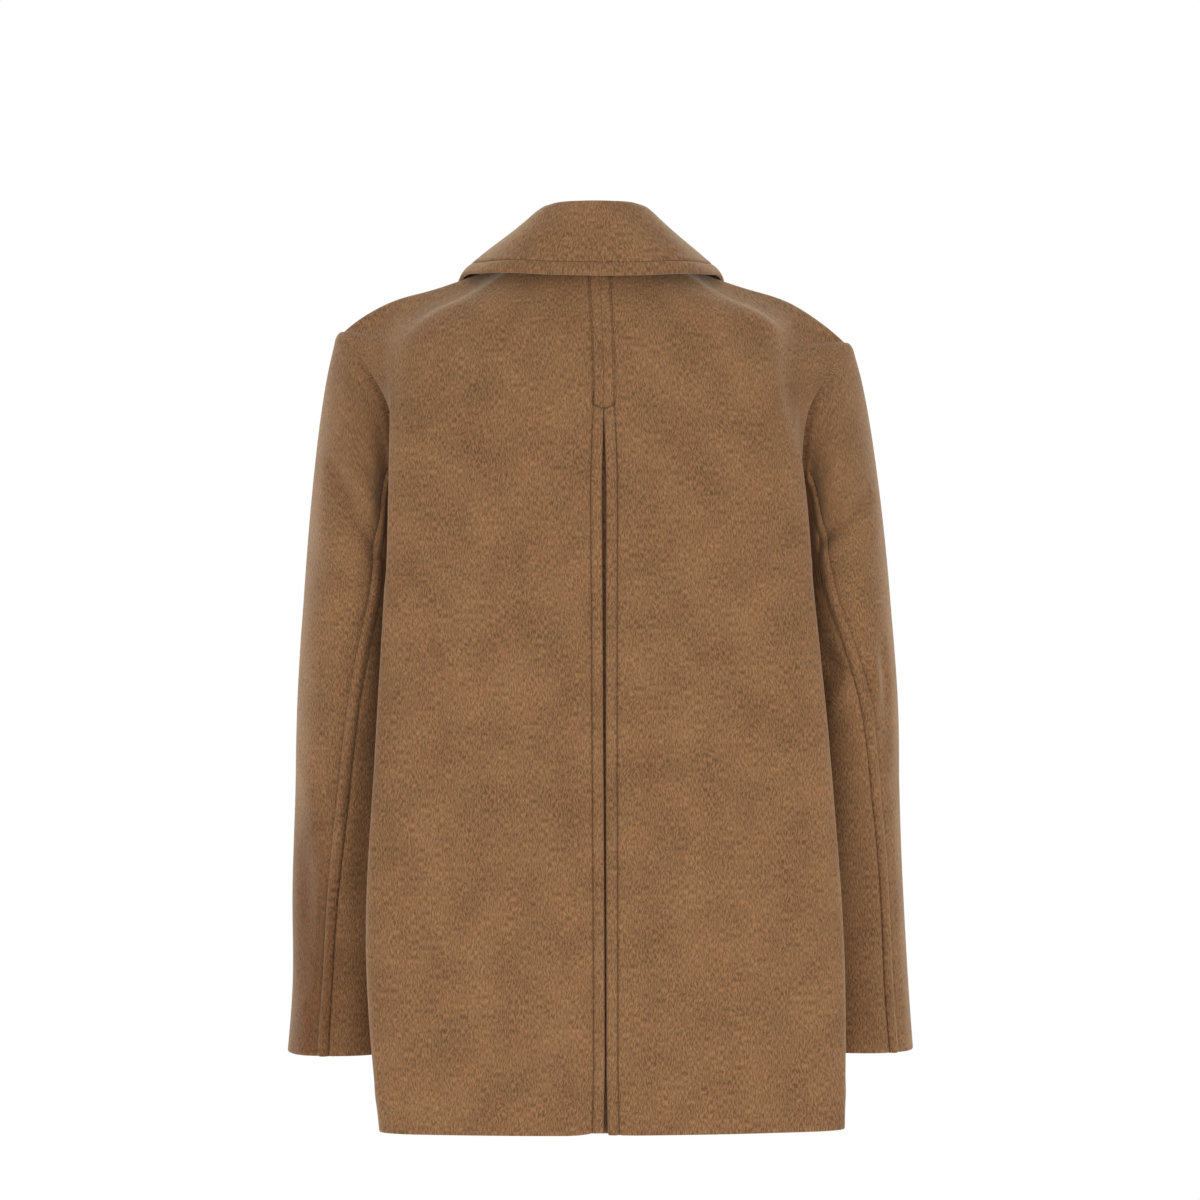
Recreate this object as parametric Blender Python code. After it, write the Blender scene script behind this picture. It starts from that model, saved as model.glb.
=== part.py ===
"""Double-breasted jacket in brushed wool, filled out as it is worn.

The wearer's front faces -Y, the wearer's left is +X, and the origin is the middle of the neck opening
at the height of the side neck points. Sizes are in millimetres until a mesh is made.
"""

import math

import bmesh
import bpy
import numpy as np
from mathutils import Vector
from mathutils.bvhtree import BVHTree

METRES = 0.001
CLOTH = 2.0  # thickness of the coat cloth
SEAM_EASE = 0.25  # each edge stands back this far from its seam line
SHARP_ANGLE = math.radians(50)  # edges that turn more than this stay sharp in shading
LEFT, RIGHT = 1, -1

# Heights down the body
HEM_Z = -752
SHOULDER_TIP = (221, -2, -65)
SIDE_NECK = (77, 0, -2)

# How the filled-out jacket has settled: it leans a little, and its left shoulder sits a little higher
LEAN = 0.0092  # sideways shift for each millimetre of height
LEAN_LEVEL_Z = -240  # height at which nothing shifts
LEAN_REACH = 110  # the middle of the back stays upright, and the shift grows over about this distance
SHOULDER_TILT = 4.0
TILT_X = (145, 222)  # the tilt starts at the first distance from the middle and is full at the second
TILT_Z = (-300, -120)  # and it fades in between these heights
COLLAR_LEAN = 4.0  # sideways shift of the top of the collar
COLLAR_LEAN_X = (170, 110)  # it is full at the second distance from the middle
COLLAR_LEAN_Z = (-110, 50)

# Front
OVERLAP = 85  # each front reaches this far past the centre line
UNDER_DROP = 10  # the lower front lies this much further in
FULL_DEPTH = 150  # the drop is full where the front is this far from the middle of the neck

CAMEL = (0.26, 0.135, 0.065, 1)
CAMEL_DARK = (0.20, 0.10, 0.048, 1)
HORN = (0.09, 0.045, 0.022, 1)
CLOTH_ROUGHNESS = 0.92
HORN_ROUGHNESS = 0.45


def curve_through(points, counts):
    """A smooth curve through the points, with counts[i] steps between point i and the next."""
    points = np.asarray(points, float)
    spans = np.sqrt(np.linalg.norm(np.diff(points, axis=0), axis=1)) + 1e-6
    slopes = np.diff(points, axis=0) / spans[:, None]
    before, after = spans[:-1, None], spans[1:, None]
    tangents = np.empty_like(points)
    tangents[1:-1] = (slopes[:-1] * after + slopes[1:] * before) / (before + after)
    tangents[0] = 1.5 * slopes[0] - 0.5 * tangents[1]
    tangents[-1] = 1.5 * slopes[-1] - 0.5 * tangents[-2]
    pieces = [points[:1]]
    for i, count in enumerate(counts):
        t = np.arange(1, count + 1)[:, None] / count
        pieces.append(
            (2 * t**3 - 3 * t**2 + 1) * points[i]
            + (t**3 - 2 * t**2 + t) * spans[i] * tangents[i]
            + (3 * t**2 - 2 * t**3) * points[i + 1]
            + (t**3 - t**2) * spans[i] * tangents[i + 1]
        )
    return np.concatenate(pieces)


def surface_through(net, row_counts, column_counts):
    """A smooth grid through a net of control points: net[row][column]."""
    rows = np.array([curve_through(row, column_counts) for row in net])
    columns = [curve_through(rows[:, j], row_counts) for j in range(rows.shape[1])]
    return np.stack(columns, axis=1)


def unit(vectors):
    return vectors / np.maximum(np.linalg.norm(vectors, axis=-1, keepdims=True), 1e-9)


def grid_normals(grid):
    return unit(np.cross(np.gradient(grid, axis=1), np.gradient(grid, axis=0)))


def bend_edge_to(grid, edge):
    """Moves the last column onto the edge, and the others by less the further they are from it."""
    share = np.linspace(0, 1, grid.shape[1])[None, :, None] ** 3
    return grid + (edge - grid[:, -1])[:, None] * share


def ease_edges(grid, sides):
    """Stands the named edges back from their seam lines, within the cloth."""
    grid = grid.copy()
    near = {"first_row": (0, 1), "last_row": (-1, -2)}
    for side in sides:
        if side in near:
            edge, inner = near[side]
            grid[edge] += SEAM_EASE * unit(grid[inner] - grid[edge])
        else:
            edge, inner = (0, 1) if side == "first_column" else (-1, -2)
            grid[:, edge] += SEAM_EASE * unit(grid[:, inner] - grid[:, edge])
    return grid


def wall(name, face, color, outward, seam_normals=None):
    """A cloth wall: the face, a second face one thickness behind it, and a rim between them."""
    normals = grid_normals(face) * outward
    for side, given in (seam_normals or {}).items():
        if side == "last_column":
            normals[:, -1] = given
        elif side == "first_column":
            normals[:, 0] = given
        elif side == "last_row":
            normals[-1] = given
        else:
            normals[0] = given
    back = face - CLOTH * normals
    rows, columns = face.shape[:2]
    points = np.concatenate([face.reshape(-1, 3), back.reshape(-1, 3)])
    index = np.arange(rows * columns).reshape(rows, columns)
    behind = index + rows * columns
    faces = []
    for i in range(rows - 1):
        for j in range(columns - 1):
            quad = [index[i, j], index[i, j + 1], index[i + 1, j + 1], index[i + 1, j]]
            rear = [behind[i, j], behind[i + 1, j], behind[i + 1, j + 1], behind[i, j + 1]]
            faces += [quad, rear]
    around = np.concatenate([index[0, :-1], index[:-1, -1], index[-1, :0:-1], index[:0:-1, 0]])
    for a, b in zip(around, np.roll(around, -1)):
        faces.append([b, a, a + rows * columns, b + rows * columns])
    if outward < 0:
        faces = [quad[::-1] for quad in faces]
    return solid(name, points, faces, color)


def solid(name, points, faces, color):
    """One closed body with its faces outwards."""
    mesh = bpy.data.meshes.new(name)
    places = (settled(points) * METRES).tolist()
    mesh.from_pydata(places, [], [[int(k) for k in quad] for quad in faces])
    built = bmesh.new()
    built.from_mesh(mesh)
    bmesh.ops.recalc_face_normals(built, faces=built.faces)
    if built.calc_volume(signed=True) < 0:
        bmesh.ops.reverse_faces(built, faces=built.faces)
    built.to_mesh(mesh)
    built.free()
    mesh.shade_smooth()
    mesh.set_sharp_from_angle(angle=SHARP_ANGLE)
    mesh.materials.append(cloth_material(name, color))
    item = bpy.data.objects.new(name, mesh)
    bpy.context.scene.collection.objects.link(item)
    return item


def cloth_material(name, color):
    material = bpy.data.materials.new(name)
    material.use_nodes = True
    shader = material.node_tree.nodes["Principled BSDF"]
    shader.inputs["Base Color"].default_value = color
    shader.inputs["Roughness"].default_value = HORN_ROUGHNESS if color == HORN else CLOTH_ROUGHNESS
    return material


# Seam lines of one side, on +X. mirrored() gives the other side.

ARMHOLE = (  # x, y, z: round the hole from the shoulder tip down the back to the armpit and up the front
    SHOULDER_TIP,
    (206, 29, -91),
    (184, 44, -130),
    (176, 46, -190),
    (169, 31, -250),
    (166, 0, -282),
    (167, -34, -258),
    (171, -52, -200),
    (182, -50, -135),
    (206, -33, -91),
    SHOULDER_TIP,
)
BACK_ARMHOLE_STEPS = (3, 3, 3, 3, 2)
FRONT_ARMHOLE_STEPS = (2, 3, 3, 3, 3)
ARMHOLE_FLARE = 0.6  # how far the seam's direction turns from the hole's plane towards the arm
SHOULDER_FLARE = 0.25
NECK_FLARE = 0.5

SIDE_SEAM = ((176, 2, HEM_Z), (172, 0, -600), (168, 0, -420), (166, 0, -282))  # x, y, z
SIDE_STEPS = (4, 4, 4)
SHOULDER_SEAM = (SHOULDER_TIP, (202, 0, -50), (174, 0, -34), (132, 0, -21), SIDE_NECK)  # x, y, z
SHOULDER_STEPS = (1, 1, 2, 2)


def mirrored(points, side):
    return np.asarray(points, float) * (side, 1, 1)


def eased(value, low, high):
    """0 up to low, 1 from high, and smooth between them."""
    share = np.clip((value - low) / (high - low), 0, 1)
    return share * share * (3 - 2 * share)


def settled(points):
    """Where each point lies once the jacket has settled."""
    x, y, z = points.T
    lean = LEAN * (z - LEAN_LEVEL_Z) * (1 - np.exp(-((x / LEAN_REACH) ** 2)))
    tilt = SHOULDER_TILT * np.sign(x) * eased(np.abs(x), *TILT_X) * eased(z, *TILT_Z)
    collar = COLLAR_LEAN * eased(np.abs(x), *COLLAR_LEAN_X) * eased(z, *COLLAR_LEAN_Z)
    return np.stack([x + lean + collar, y, z + tilt], axis=1)


def armhole_loop(side):
    closed = ARMHOLE[-3:-1] + ARMHOLE + ARMHOLE[1:3]  # a few points past each end keep the join smooth
    steps = (1, 1) + BACK_ARMHOLE_STEPS + FRONT_ARMHOLE_STEPS + (1, 1)
    return mirrored(curve_through(closed, steps)[2:-2], side)


def armhole_normals(loop, side):
    """The direction that halves the corner between body and sleeve all round the armhole."""
    middle = loop[:-1].mean(axis=0)
    radial = unit((loop - middle) * (0, 1, 1))
    return unit(radial + np.array([ARMHOLE_FLARE * side, 0, 0]))


def side_edge(side, armhole_half):
    """The outer edge of a front or a back, from the hem to the side neck point."""
    seam = mirrored(curve_through(SIDE_SEAM, SIDE_STEPS), side)
    shoulder = mirrored(curve_through(SHOULDER_SEAM, SHOULDER_STEPS), side)
    return np.concatenate([seam[:-1], armhole_half[:-1], shoulder])


def side_edge_normals(side, armhole_half_normals):
    seam = np.tile([side, 0.0, 0.0], (sum(SIDE_STEPS), 1))
    shoulder = np.tile(unit(np.array([SHOULDER_FLARE * side, 0.0, 1.0])), (sum(SHOULDER_STEPS), 1))
    return np.concatenate([seam, armhole_half_normals, shoulder])


# Back. A row runs from the centre to the crisp edge of the hanging panel, then round it to the side.
BACK_ROWS = (
    # centre y, centre z, edge x left, edge x right, edge y, edge z
    (130, HEM_Z, 197, 204, 92, HEM_Z),
    (127, -600, 207, 205, 90, -600),
    (114, -420, 197, 194, 84, -420),
    (109, -290, 188, 182, 80, -285),
    (108, -262, 186, 181, 78, -262),
    (107, -210, 184, 178, 74, -212),
    (104, -150, 182, 172, 68, -160),
    (98, -92, 179, 163, 58, -112),
    (90, -52, 176, 164, 43, -74),
    (87, -42, 165, 163, 38, -60),
    (82, -28, 146, 146, 34, -46),
    (75, -12, 114, 114, 30, -31),
    (62, 5, 62, 62, 36, 0),
)
BACK_ROW_STEPS = SIDE_STEPS + tuple(reversed(BACK_ARMHOLE_STEPS)) + SHOULDER_STEPS
BACK_COLUMN_STEPS = (3, 3, 1, 1, 2, 2)
BACK_SHARES = (0, 0.36, 0.72, 0.93)  # where the row's points lie between the centre and the crisp edge
BACK_FULLNESS = 2.3  # how late the back rounds off towards its edge
EDGE_SOFTNESS = 9  # the crisp edge turns over this distance
SIDE_SHARE = 0.45  # the row's last free point lies this far from the crisp edge to the side seam
SIDE_TUCK = 9  # how far the side hangs in behind the crisp edge
TUCK_DEPTH = 80  # a side shorter than this hangs in by less

# Inverted pleat down the middle of the back
PLEAT_TOP_Z = -133
PLEAT_RETURN = 40  # cloth turned in behind each pleat edge
SEAM_RETURN = 12  # seam allowance above the pleat
RETURN_BLEND = 24  # height over which one becomes the other
SEAM_GAP = 0.15  # from the middle to each folded edge above the pleat
TURN_RADIUS = 2.4  # outside of the turned edge
TURN_ANGLES = np.radians((180, 135, 90, 45))
UNDERLAY_GAP = 0.6
UNDERLAY_COLUMNS = 7
UNDERLAY_RISE = 1.0  # the underlay's hem hangs this much higher
PLEAT_SPREAD = 2.0  # half the opening just below the pleat's top
PLEAT_REST = 0.7  # half the opening further down
PLEAT_SPREAD_DEPTH = 60  # the pleat opens over this height
PLEAT_CLOSE_DEPTH = 180  # and falls together again over about this height
HEM_SPREAD = 1.2  # it opens again by this much at the hem
HEM_SPREAD_Z = -700
CENTRE_FADE = 60  # the opening moves the panel aside as far as this from the middle


def back_row(row, outer_edge, side):
    centre_y, centre_z, left_x, right_x, edge_y, edge_z = row
    edge_x = left_x if side == LEFT else right_x
    start_x = TURN_RADIUS + SEAM_GAP
    net = []
    for share in BACK_SHARES:
        x = start_x + (edge_x - start_x) * share
        y = centre_y + (edge_y + EDGE_SOFTNESS - centre_y) * share**BACK_FULLNESS
        net.append((x * side, y, centre_z + (edge_z - centre_z) * share))
    net.append((edge_x * side, edge_y, edge_z))
    corner = np.array(net[-1])
    tuck = SIDE_TUCK * side * min(1, np.linalg.norm(outer_edge - corner) / TUCK_DEPTH)
    net.append(corner + (outer_edge - corner) * SIDE_SHARE - np.array([tuck, 0, 0]))
    net.append(outer_edge)
    return np.array(net, float)


def back_surface(side):
    loop = armhole_loop(side)
    half = loop[: sum(BACK_ARMHOLE_STEPS) + 1][::-1]
    edge = side_edge(side, half)
    stops = np.concatenate([[0], np.cumsum(BACK_ROW_STEPS)])
    net = [back_row(row, edge[stop], side) for row, stop in zip(BACK_ROWS, stops)]
    grid = surface_through(net, BACK_ROW_STEPS, BACK_COLUMN_STEPS)
    normals = side_edge_normals(side, armhole_normals(loop, side)[: len(half)][::-1])
    return bend_edge_to(grid, edge), normals


def pleat_opening(z):
    """Half the gap between the two pleat edges: closed above the pleat, most open just below its top."""
    below = PLEAT_TOP_Z - z
    start = np.clip(below / PLEAT_SPREAD_DEPTH, 0, 1)
    falling = np.exp(-np.clip(below - 1.5 * PLEAT_SPREAD_DEPTH, 0, None) / PLEAT_CLOSE_DEPTH)
    hem = HEM_SPREAD * np.clip((HEM_SPREAD_Z - z) / (HEM_SPREAD_Z - HEM_Z), 0, 1)
    return start * (PLEAT_REST + (PLEAT_SPREAD - PLEAT_REST) * falling) + hem


def returned_cloth(first_column, side):
    """The cloth that turns in at the centre: a half circle, then flat behind the panel."""
    z = first_column[:, 2]
    below = np.clip((PLEAT_TOP_Z - z) / RETURN_BLEND, 0, 1)
    width = SEAM_RETURN + (PLEAT_RETURN - SEAM_RETURN) * below
    columns = []
    flat = np.stack([width, np.full_like(width, -2 * TURN_RADIUS)], axis=1)
    columns.append(flat)
    columns.append(flat * (0.5, 1))
    for turn in TURN_ANGLES:
        across = TURN_RADIUS * (1 - math.sin(turn)) + SEAM_GAP
        depth = -TURN_RADIUS * (1 - math.cos(turn))
        columns.append(np.tile([across, depth], (len(z), 1)))
    grid = np.repeat(first_column[:, None], len(columns), axis=1)
    for j, column in enumerate(columns):
        grid[:, j, 0] = (column[:, 0] + pleat_opening(z)) * side
        grid[:, j, 1] += column[:, 1]
    return grid


def build_back(side):
    name = "back_left" if side == LEFT else "back_right"
    panel, edge_normals = back_surface(side)
    opening = pleat_opening(panel[:, 0, 2])
    fade = np.clip(1 - np.abs(panel[:, :, 0]) / CENTRE_FADE, 0, 1)
    panel[:, :, 0] += opening[:, None] * fade * side
    neckline = panel[-1].copy()
    face = np.concatenate([returned_cloth(panel[:, 0], side), panel], axis=1)
    face = ease_edges(face, ("last_row", "last_column"))
    wall(name, face, CAMEL, -side, {"last_column": edge_normals, "last_row": neck_normals(face[-1])})
    return neckline


def neck_normals(row):
    """Out from the neck and up, shared by the neckline and the foot of the collar."""
    return unit(unit(row * (1, 1, 0)) + np.array([0, 0, NECK_FLARE]))


def build_underlay():
    left, _ = back_surface(LEFT)
    rows = left[:, 0]
    rows = rows[rows[:, 2] < PLEAT_TOP_Z - RETURN_BLEND]
    behind = rows[:, 1] - 2 * TURN_RADIUS - UNDERLAY_GAP
    across = np.linspace(PLEAT_RETURN, -PLEAT_RETURN, UNDERLAY_COLUMNS)
    face = np.empty((len(rows), len(across), 3))
    face[:, :, 0] = across
    face[:, :, 1] = behind[:, None]
    face[:, :, 2] = rows[:, 2][:, None] + UNDERLAY_RISE
    wall("back_pleat_underlay", face, CAMEL_DARK, face_turn(face, (0, 1, 0)))


def face_turn(face, wanted):
    """+1 where the grid's own normals already look the wanted way, or else -1."""
    return 1 if (grid_normals(face) @ np.array(wanted)).mean() > 0 else -1


# Front. A row runs from the front edge, or from the roll line above it, to the side.
FRONT_ROWS = (
    # start x, start z, centre y, knee x, knee y, knee z
    (-OVERLAP, HEM_Z, -160, 166, -104, HEM_Z),
    (-OVERLAP, -600, -158, 164, -102, -600),
    (-OVERLAP, -430, -150, 159, -96, -420),
    (-OVERLAP + 2, -326, -150, 156, -92, -290),
    (-74, -302, -151, 156, -92, -270),
    (-26, -216, -146, 157, -90, -212),
    (15, -146, -131, 158, -83, -152),
    (40, -98, -111, 160, -70, -112),
    (57, -62, -88, 165, -52, -84),
    (61, -53, -80, 150, -50, -72),
    (65, -44, -70, 132, -45, -59),
    (69, -33, -58, 108, -36, -41),
    (72, -22, -44, 76, -22, -10),
)
FRONT_ROW_STEPS = SIDE_STEPS + FRONT_ARMHOLE_STEPS + SHOULDER_STEPS
FRONT_COLUMN_STEPS = (3, 3, 2, 1, 2, 1)
FRONT_SHARES = (0, 0.34, 0.68, 0.9, 1)  # where the row's points lie between its start and the knee
FRONT_FULLNESS = 2.0
KNEE_SHARE = 0.55  # the row's last free point lies this far from the knee to the side seam
KNEE_BULGE = (3.0, -5.0)  # x, y: how far that point stands out
BEFORE_Y = -400  # well before the fronts
SHOULDER_Y = -40


def front_row(row, outer_edge, side):
    start_x, start_z, centre_y, knee_x, knee_y, knee_z = row
    drop = UNDER_DROP if side == LEFT else 0
    centre_y = centre_y + drop * min(1, abs(centre_y) / FULL_DEPTH) ** 3
    origin_x = max(start_x, 0)
    net = []
    for share in FRONT_SHARES:
        x = start_x + (knee_x - start_x) * share
        reach = abs(x - origin_x) / (knee_x - origin_x)
        y = centre_y + (knee_y - centre_y) * reach**FRONT_FULLNESS
        net.append((x * side, y, start_z + (knee_z - start_z) * share))
    knee = np.array(net[-1])
    bulge = np.array([KNEE_BULGE[0] * side, KNEE_BULGE[1], 0.0])
    bulge *= min(1, np.linalg.norm(outer_edge - knee) / TUCK_DEPTH)
    net.append(knee + (outer_edge - knee) * KNEE_SHARE + bulge)
    net.append(outer_edge)
    return np.array(net, float)


def front_surface(side):
    loop = armhole_loop(side)
    half = loop[sum(BACK_ARMHOLE_STEPS) :]
    edge = side_edge(side, half)
    stops = np.concatenate([[0], np.cumsum(FRONT_ROW_STEPS)])
    net = [front_row(row, edge[stop], side) for row, stop in zip(FRONT_ROWS, stops)]
    grid = surface_through(net, FRONT_ROW_STEPS, FRONT_COLUMN_STEPS)
    normals = side_edge_normals(side, armhole_normals(loop, side)[sum(BACK_ARMHOLE_STEPS) :])
    return bend_edge_to(grid, edge), normals


def build_front(side):
    name = "front_left" if side == LEFT else "front_right"
    panel, edge_normals = front_surface(side)
    neckline = panel[-1].copy()
    face = ease_edges(panel, ("first_column", "last_row", "last_column"))
    wall(name, face, CAMEL, side, {"last_column": edge_normals, "last_row": neck_normals(face[-1])})
    return panel, neckline


def surface_tree(grid):
    rows, columns = grid.shape[:2]
    index = np.arange(rows * columns).reshape(rows, columns)
    quads = np.stack([index[:-1, :-1], index[:-1, 1:], index[1:, 1:], index[1:, :-1]], axis=-1)
    return BVHTree.FromPolygons([Vector(p) for p in grid.reshape(-1, 3)], quads.reshape(-1, 4).tolist())


def laid_on(tree, x, z):
    """The point of a front straight behind (x, z), and the front's outward direction there."""
    hit, normal, _, _ = tree.ray_cast(Vector((x, BEFORE_Y, z)), Vector((0, 1, 0)))
    if hit is None:
        hit, normal, _, _ = tree.find_nearest(Vector((x, SHOULDER_Y, z)))
    outward = np.array(normal) if normal.y < 0 else -np.array(normal)
    return np.array(hit), outward


# Sleeve: rings below the armpit, from the upper arm to the cuff.
SLEEVE_ROWS = (
    # z, outer x left, outer x right, inner x, centre y, half depth, seam x left, seam x right
    (-300, 258, 258, 173, -2, 70, 193, 197),
    (-385, 265, 264, 176, -5, 66, 210, 224),
    (-475, 267, 266, 178, -10, 62, 221, 236),
    (-560, 271, 270, 181, -18, 58, 231, 244),
    (-640, 272, 274, 184, -24, 54, 237, 248),
    (-694, 276, 278, 187, -28, 52, 240, 252),
)
SLEEVE_STEPS = (3, 3, 3, 2, 1)
CAP_STEPS = 7
CAP_DROP = 0.2  # how steeply the cloth leaves the armhole downwards
CAP_FLARE = 0.12  # and away from the hole's middle
CAP_LEAVE = 0.4  # handles of the cap's curve, as shares of its length
CAP_LEAVE_MOST = 17
CAP_ARRIVE = 0.38
BACK_SEAM_STEP = 9  # armhole step where the back seam of the sleeve starts
ARMPIT_STEP = 14
FRONT_SEAM_STEP = 19
AROUND_STEPS = 28
FRONT_SEAM_ANGLE = 238
SQUARENESS = 0.9  # under 1 makes the ring a little squarer than an ellipse


def sleeve_ring(row, side):
    z, left_x, right_x, inner_x, centre_y, half_depth, left_seam, right_seam = row
    outer_x = left_x if side == LEFT else right_x
    seam_x = left_seam if side == LEFT else right_seam
    middle, half_width = (outer_x + inner_x) / 2, (outer_x - inner_x) / 2
    reach = (abs(seam_x - middle) / half_width) ** (1 / SQUARENESS) * np.sign(seam_x - middle)
    seam_angle = math.degrees(math.acos(reach))
    stops = (0, BACK_SEAM_STEP, ARMPIT_STEP, FRONT_SEAM_STEP, AROUND_STEPS)
    angles = np.interp(np.arange(AROUND_STEPS), stops, (0, seam_angle, 180, FRONT_SEAM_ANGLE, 360))
    across, deep = np.cos(np.radians(angles)), np.sin(np.radians(angles))
    x = middle + half_width * np.sign(across) * np.abs(across) ** SQUARENESS
    y = centre_y + half_depth * np.sign(deep) * np.abs(deep) ** SQUARENESS
    return np.stack([x * side, y, np.full_like(x, z)], axis=1)


def sleeve_cap(loop, ring, below, side):
    """From the armhole out and down to the first ring, leaving it as the sleeve below goes on."""
    middle = loop.mean(axis=0)
    radial = unit((loop - middle) * (0, 1, 1))
    leave = unit(np.array([side, 0, -CAP_DROP]) + CAP_FLARE * radial)
    arrive = unit(ring - below)
    length = np.linalg.norm(ring - loop, axis=1)[:, None]
    first = loop + leave * np.minimum(CAP_LEAVE * length, CAP_LEAVE_MOST)
    second = ring + arrive * CAP_ARRIVE * length
    t = (np.arange(CAP_STEPS + 1) / CAP_STEPS)[:, None, None]
    return (1 - t) ** 3 * loop + 3 * t * (1 - t) ** 2 * first + 3 * t**2 * (1 - t) * second + t**3 * ring


def sleeve_surface(side):
    loop = armhole_loop(side)[:-1]
    rings = [sleeve_ring(row, side) for row in SLEEVE_ROWS]
    cap = sleeve_cap(loop, rings[0], rings[1], side)
    columns = [curve_through([ring[i] for ring in rings], SLEEVE_STEPS) for i in range(AROUND_STEPS)]
    return np.concatenate([cap, np.stack(columns, axis=1)[1:]])


def build_sleeve(side):
    hand = "left" if side == LEFT else "right"
    tube = sleeve_surface(side)
    loop = armhole_loop(side)
    normals = armhole_normals(loop, side)[:-1]
    around = np.arange(AROUND_STEPS)
    under = around[BACK_SEAM_STEP : FRONT_SEAM_STEP + 1]
    top = np.concatenate([around[FRONT_SEAM_STEP:], around[: BACK_SEAM_STEP + 1]])
    tube_normals = tube_side_normals(tube, side)
    for name, part in (("sleeve_top_", top), ("sleeve_under_", under)):
        face = ease_edges(tube[:, part], ("first_row", "first_column", "last_column"))
        seams = {
            "first_column": tube_normals[:, part[0]],
            "last_column": tube_normals[:, part[-1]],
            "first_row": normals[part],
        }
        wall(name + hand, face, CAMEL, -side, seams)


def tube_side_normals(tube, side):
    around = np.roll(tube, -1, axis=1) - np.roll(tube, 1, axis=1)
    down = np.gradient(tube, axis=0)
    return unit(np.cross(around, down)) * -side


# Collar: stations from the centre back round the neck to the end of the roll line.
COLLAR_ROWS = (
    # share of the way round, roll x, y, z, edge x, y, z
    (0.0, 0, 66, 48.5, 0, 95, -17),
    (0.16, 22, 63, 48.3, 38, 90, -16),
    (0.36, 42, 50, 45.5, 74, 71, -13),
    (0.55, 56, 24, 36, 101, 38, -11),
    (0.72, 68, -6, 21, 115, -4, -11),
    (0.86, 73, -31, 2, 121, -46, -33),
    (1.0, 71, -47, -16, 121, -74, -58),
)
COLLAR_STATION_STEPS = 8
ROLL_RADIUS = 4.2
STAND_HOLLOW = 0.8  # how far the middle of the stand leans out
ROLL_INNER = (-0.6, -0.25)  # away and up, in roll radii: the turn just inside the roll
ROLL_OUTER = (0.7, -0.45)  # and just outside it
FALL_ROWS = ((0.3, 2.5), (0.55, 3.0), (0.8, 2.0), (1.0, 0.0))  # share of the fall, swell


def collar_frames(neckline):
    """Roll and edge points for each neckline point, from the rows above."""
    steps = np.linalg.norm(np.diff(neckline, axis=0), axis=1)
    share = np.concatenate([[0], np.cumsum(steps)]) / steps.sum()
    rows = np.array(COLLAR_ROWS, float)
    fine = curve_through(rows, [COLLAR_STATION_STEPS] * (len(rows) - 1))
    points = np.stack([np.interp(share, fine[:, 0], fine[:, k]) for k in range(1, 7)], axis=1)
    return points[:, :3], points[:, 3:]


def collar_half(neckline, side):
    roll, edge = collar_frames(neckline * (side, 1, 1))
    roll, edge = mirrored(roll, side), mirrored(edge, side)
    normals = neck_normals(neckline)
    up = np.array([0, 0, 1.0])
    foot = neckline - CLOTH * normals + 3 * SEAM_EASE * up
    away = unit((edge - roll) * (1, 1, 0))
    fall = unit(edge - roll)
    inward = roll - away * ROLL_RADIUS - up * ROLL_RADIUS
    inner = roll + (away * ROLL_INNER[0] + up * ROLL_INNER[1]) * ROLL_RADIUS
    over = roll + (away * ROLL_OUTER[0] + up * ROLL_OUTER[1]) * ROLL_RADIUS
    belly = unit(np.cross(np.cross(fall, up), fall))
    belly = belly * np.sign(belly[:, 2:])
    columns = [foot, (foot + inward) / 2 + away * STAND_HOLLOW, inward, inner, roll, over]
    for share, swell in FALL_ROWS:
        columns.append(over + (edge - over) * share + belly * swell)
    return np.stack(columns, axis=1)


def build_collar(necklines):
    left = collar_half(necklines[LEFT], LEFT)
    right = collar_half(necklines[RIGHT], RIGHT)
    face = np.concatenate([left[::-1], right])
    normals = np.concatenate([neck_normals(necklines[LEFT])[::-1], neck_normals(necklines[RIGHT])])
    turn = face_turn(face[:, -3:], (0, 1, 1))
    wall("collar", face, CAMEL, turn, {"first_column": -normals})


# Lapel: its outer edge from the break of the roll line to the peak, then along the gorge to the neck.
LAPEL_ROWS = (
    # share of the roll line, edge x, edge z
    (0.0, -OVERLAP + 14, -322),
    (0.2, -34, -262),
    (0.42, 26, -206),
    (0.62, 78, -160),
    (0.8, 122, -122),
    (0.9, 139, -94),
    (0.95, 118, -82),
    (1.0, 100, -66),
)
LAPEL_ACROSS = (0.06, 0.35, 0.7, 1.0)  # shares of the way from the roll line to the edge
LAPEL_TURN = CLOTH + 0.9  # outside radius of the turn at the roll line
LAPEL_TURN_ANGLES = np.radians((0, 45, 90, 135, 180))


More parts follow.
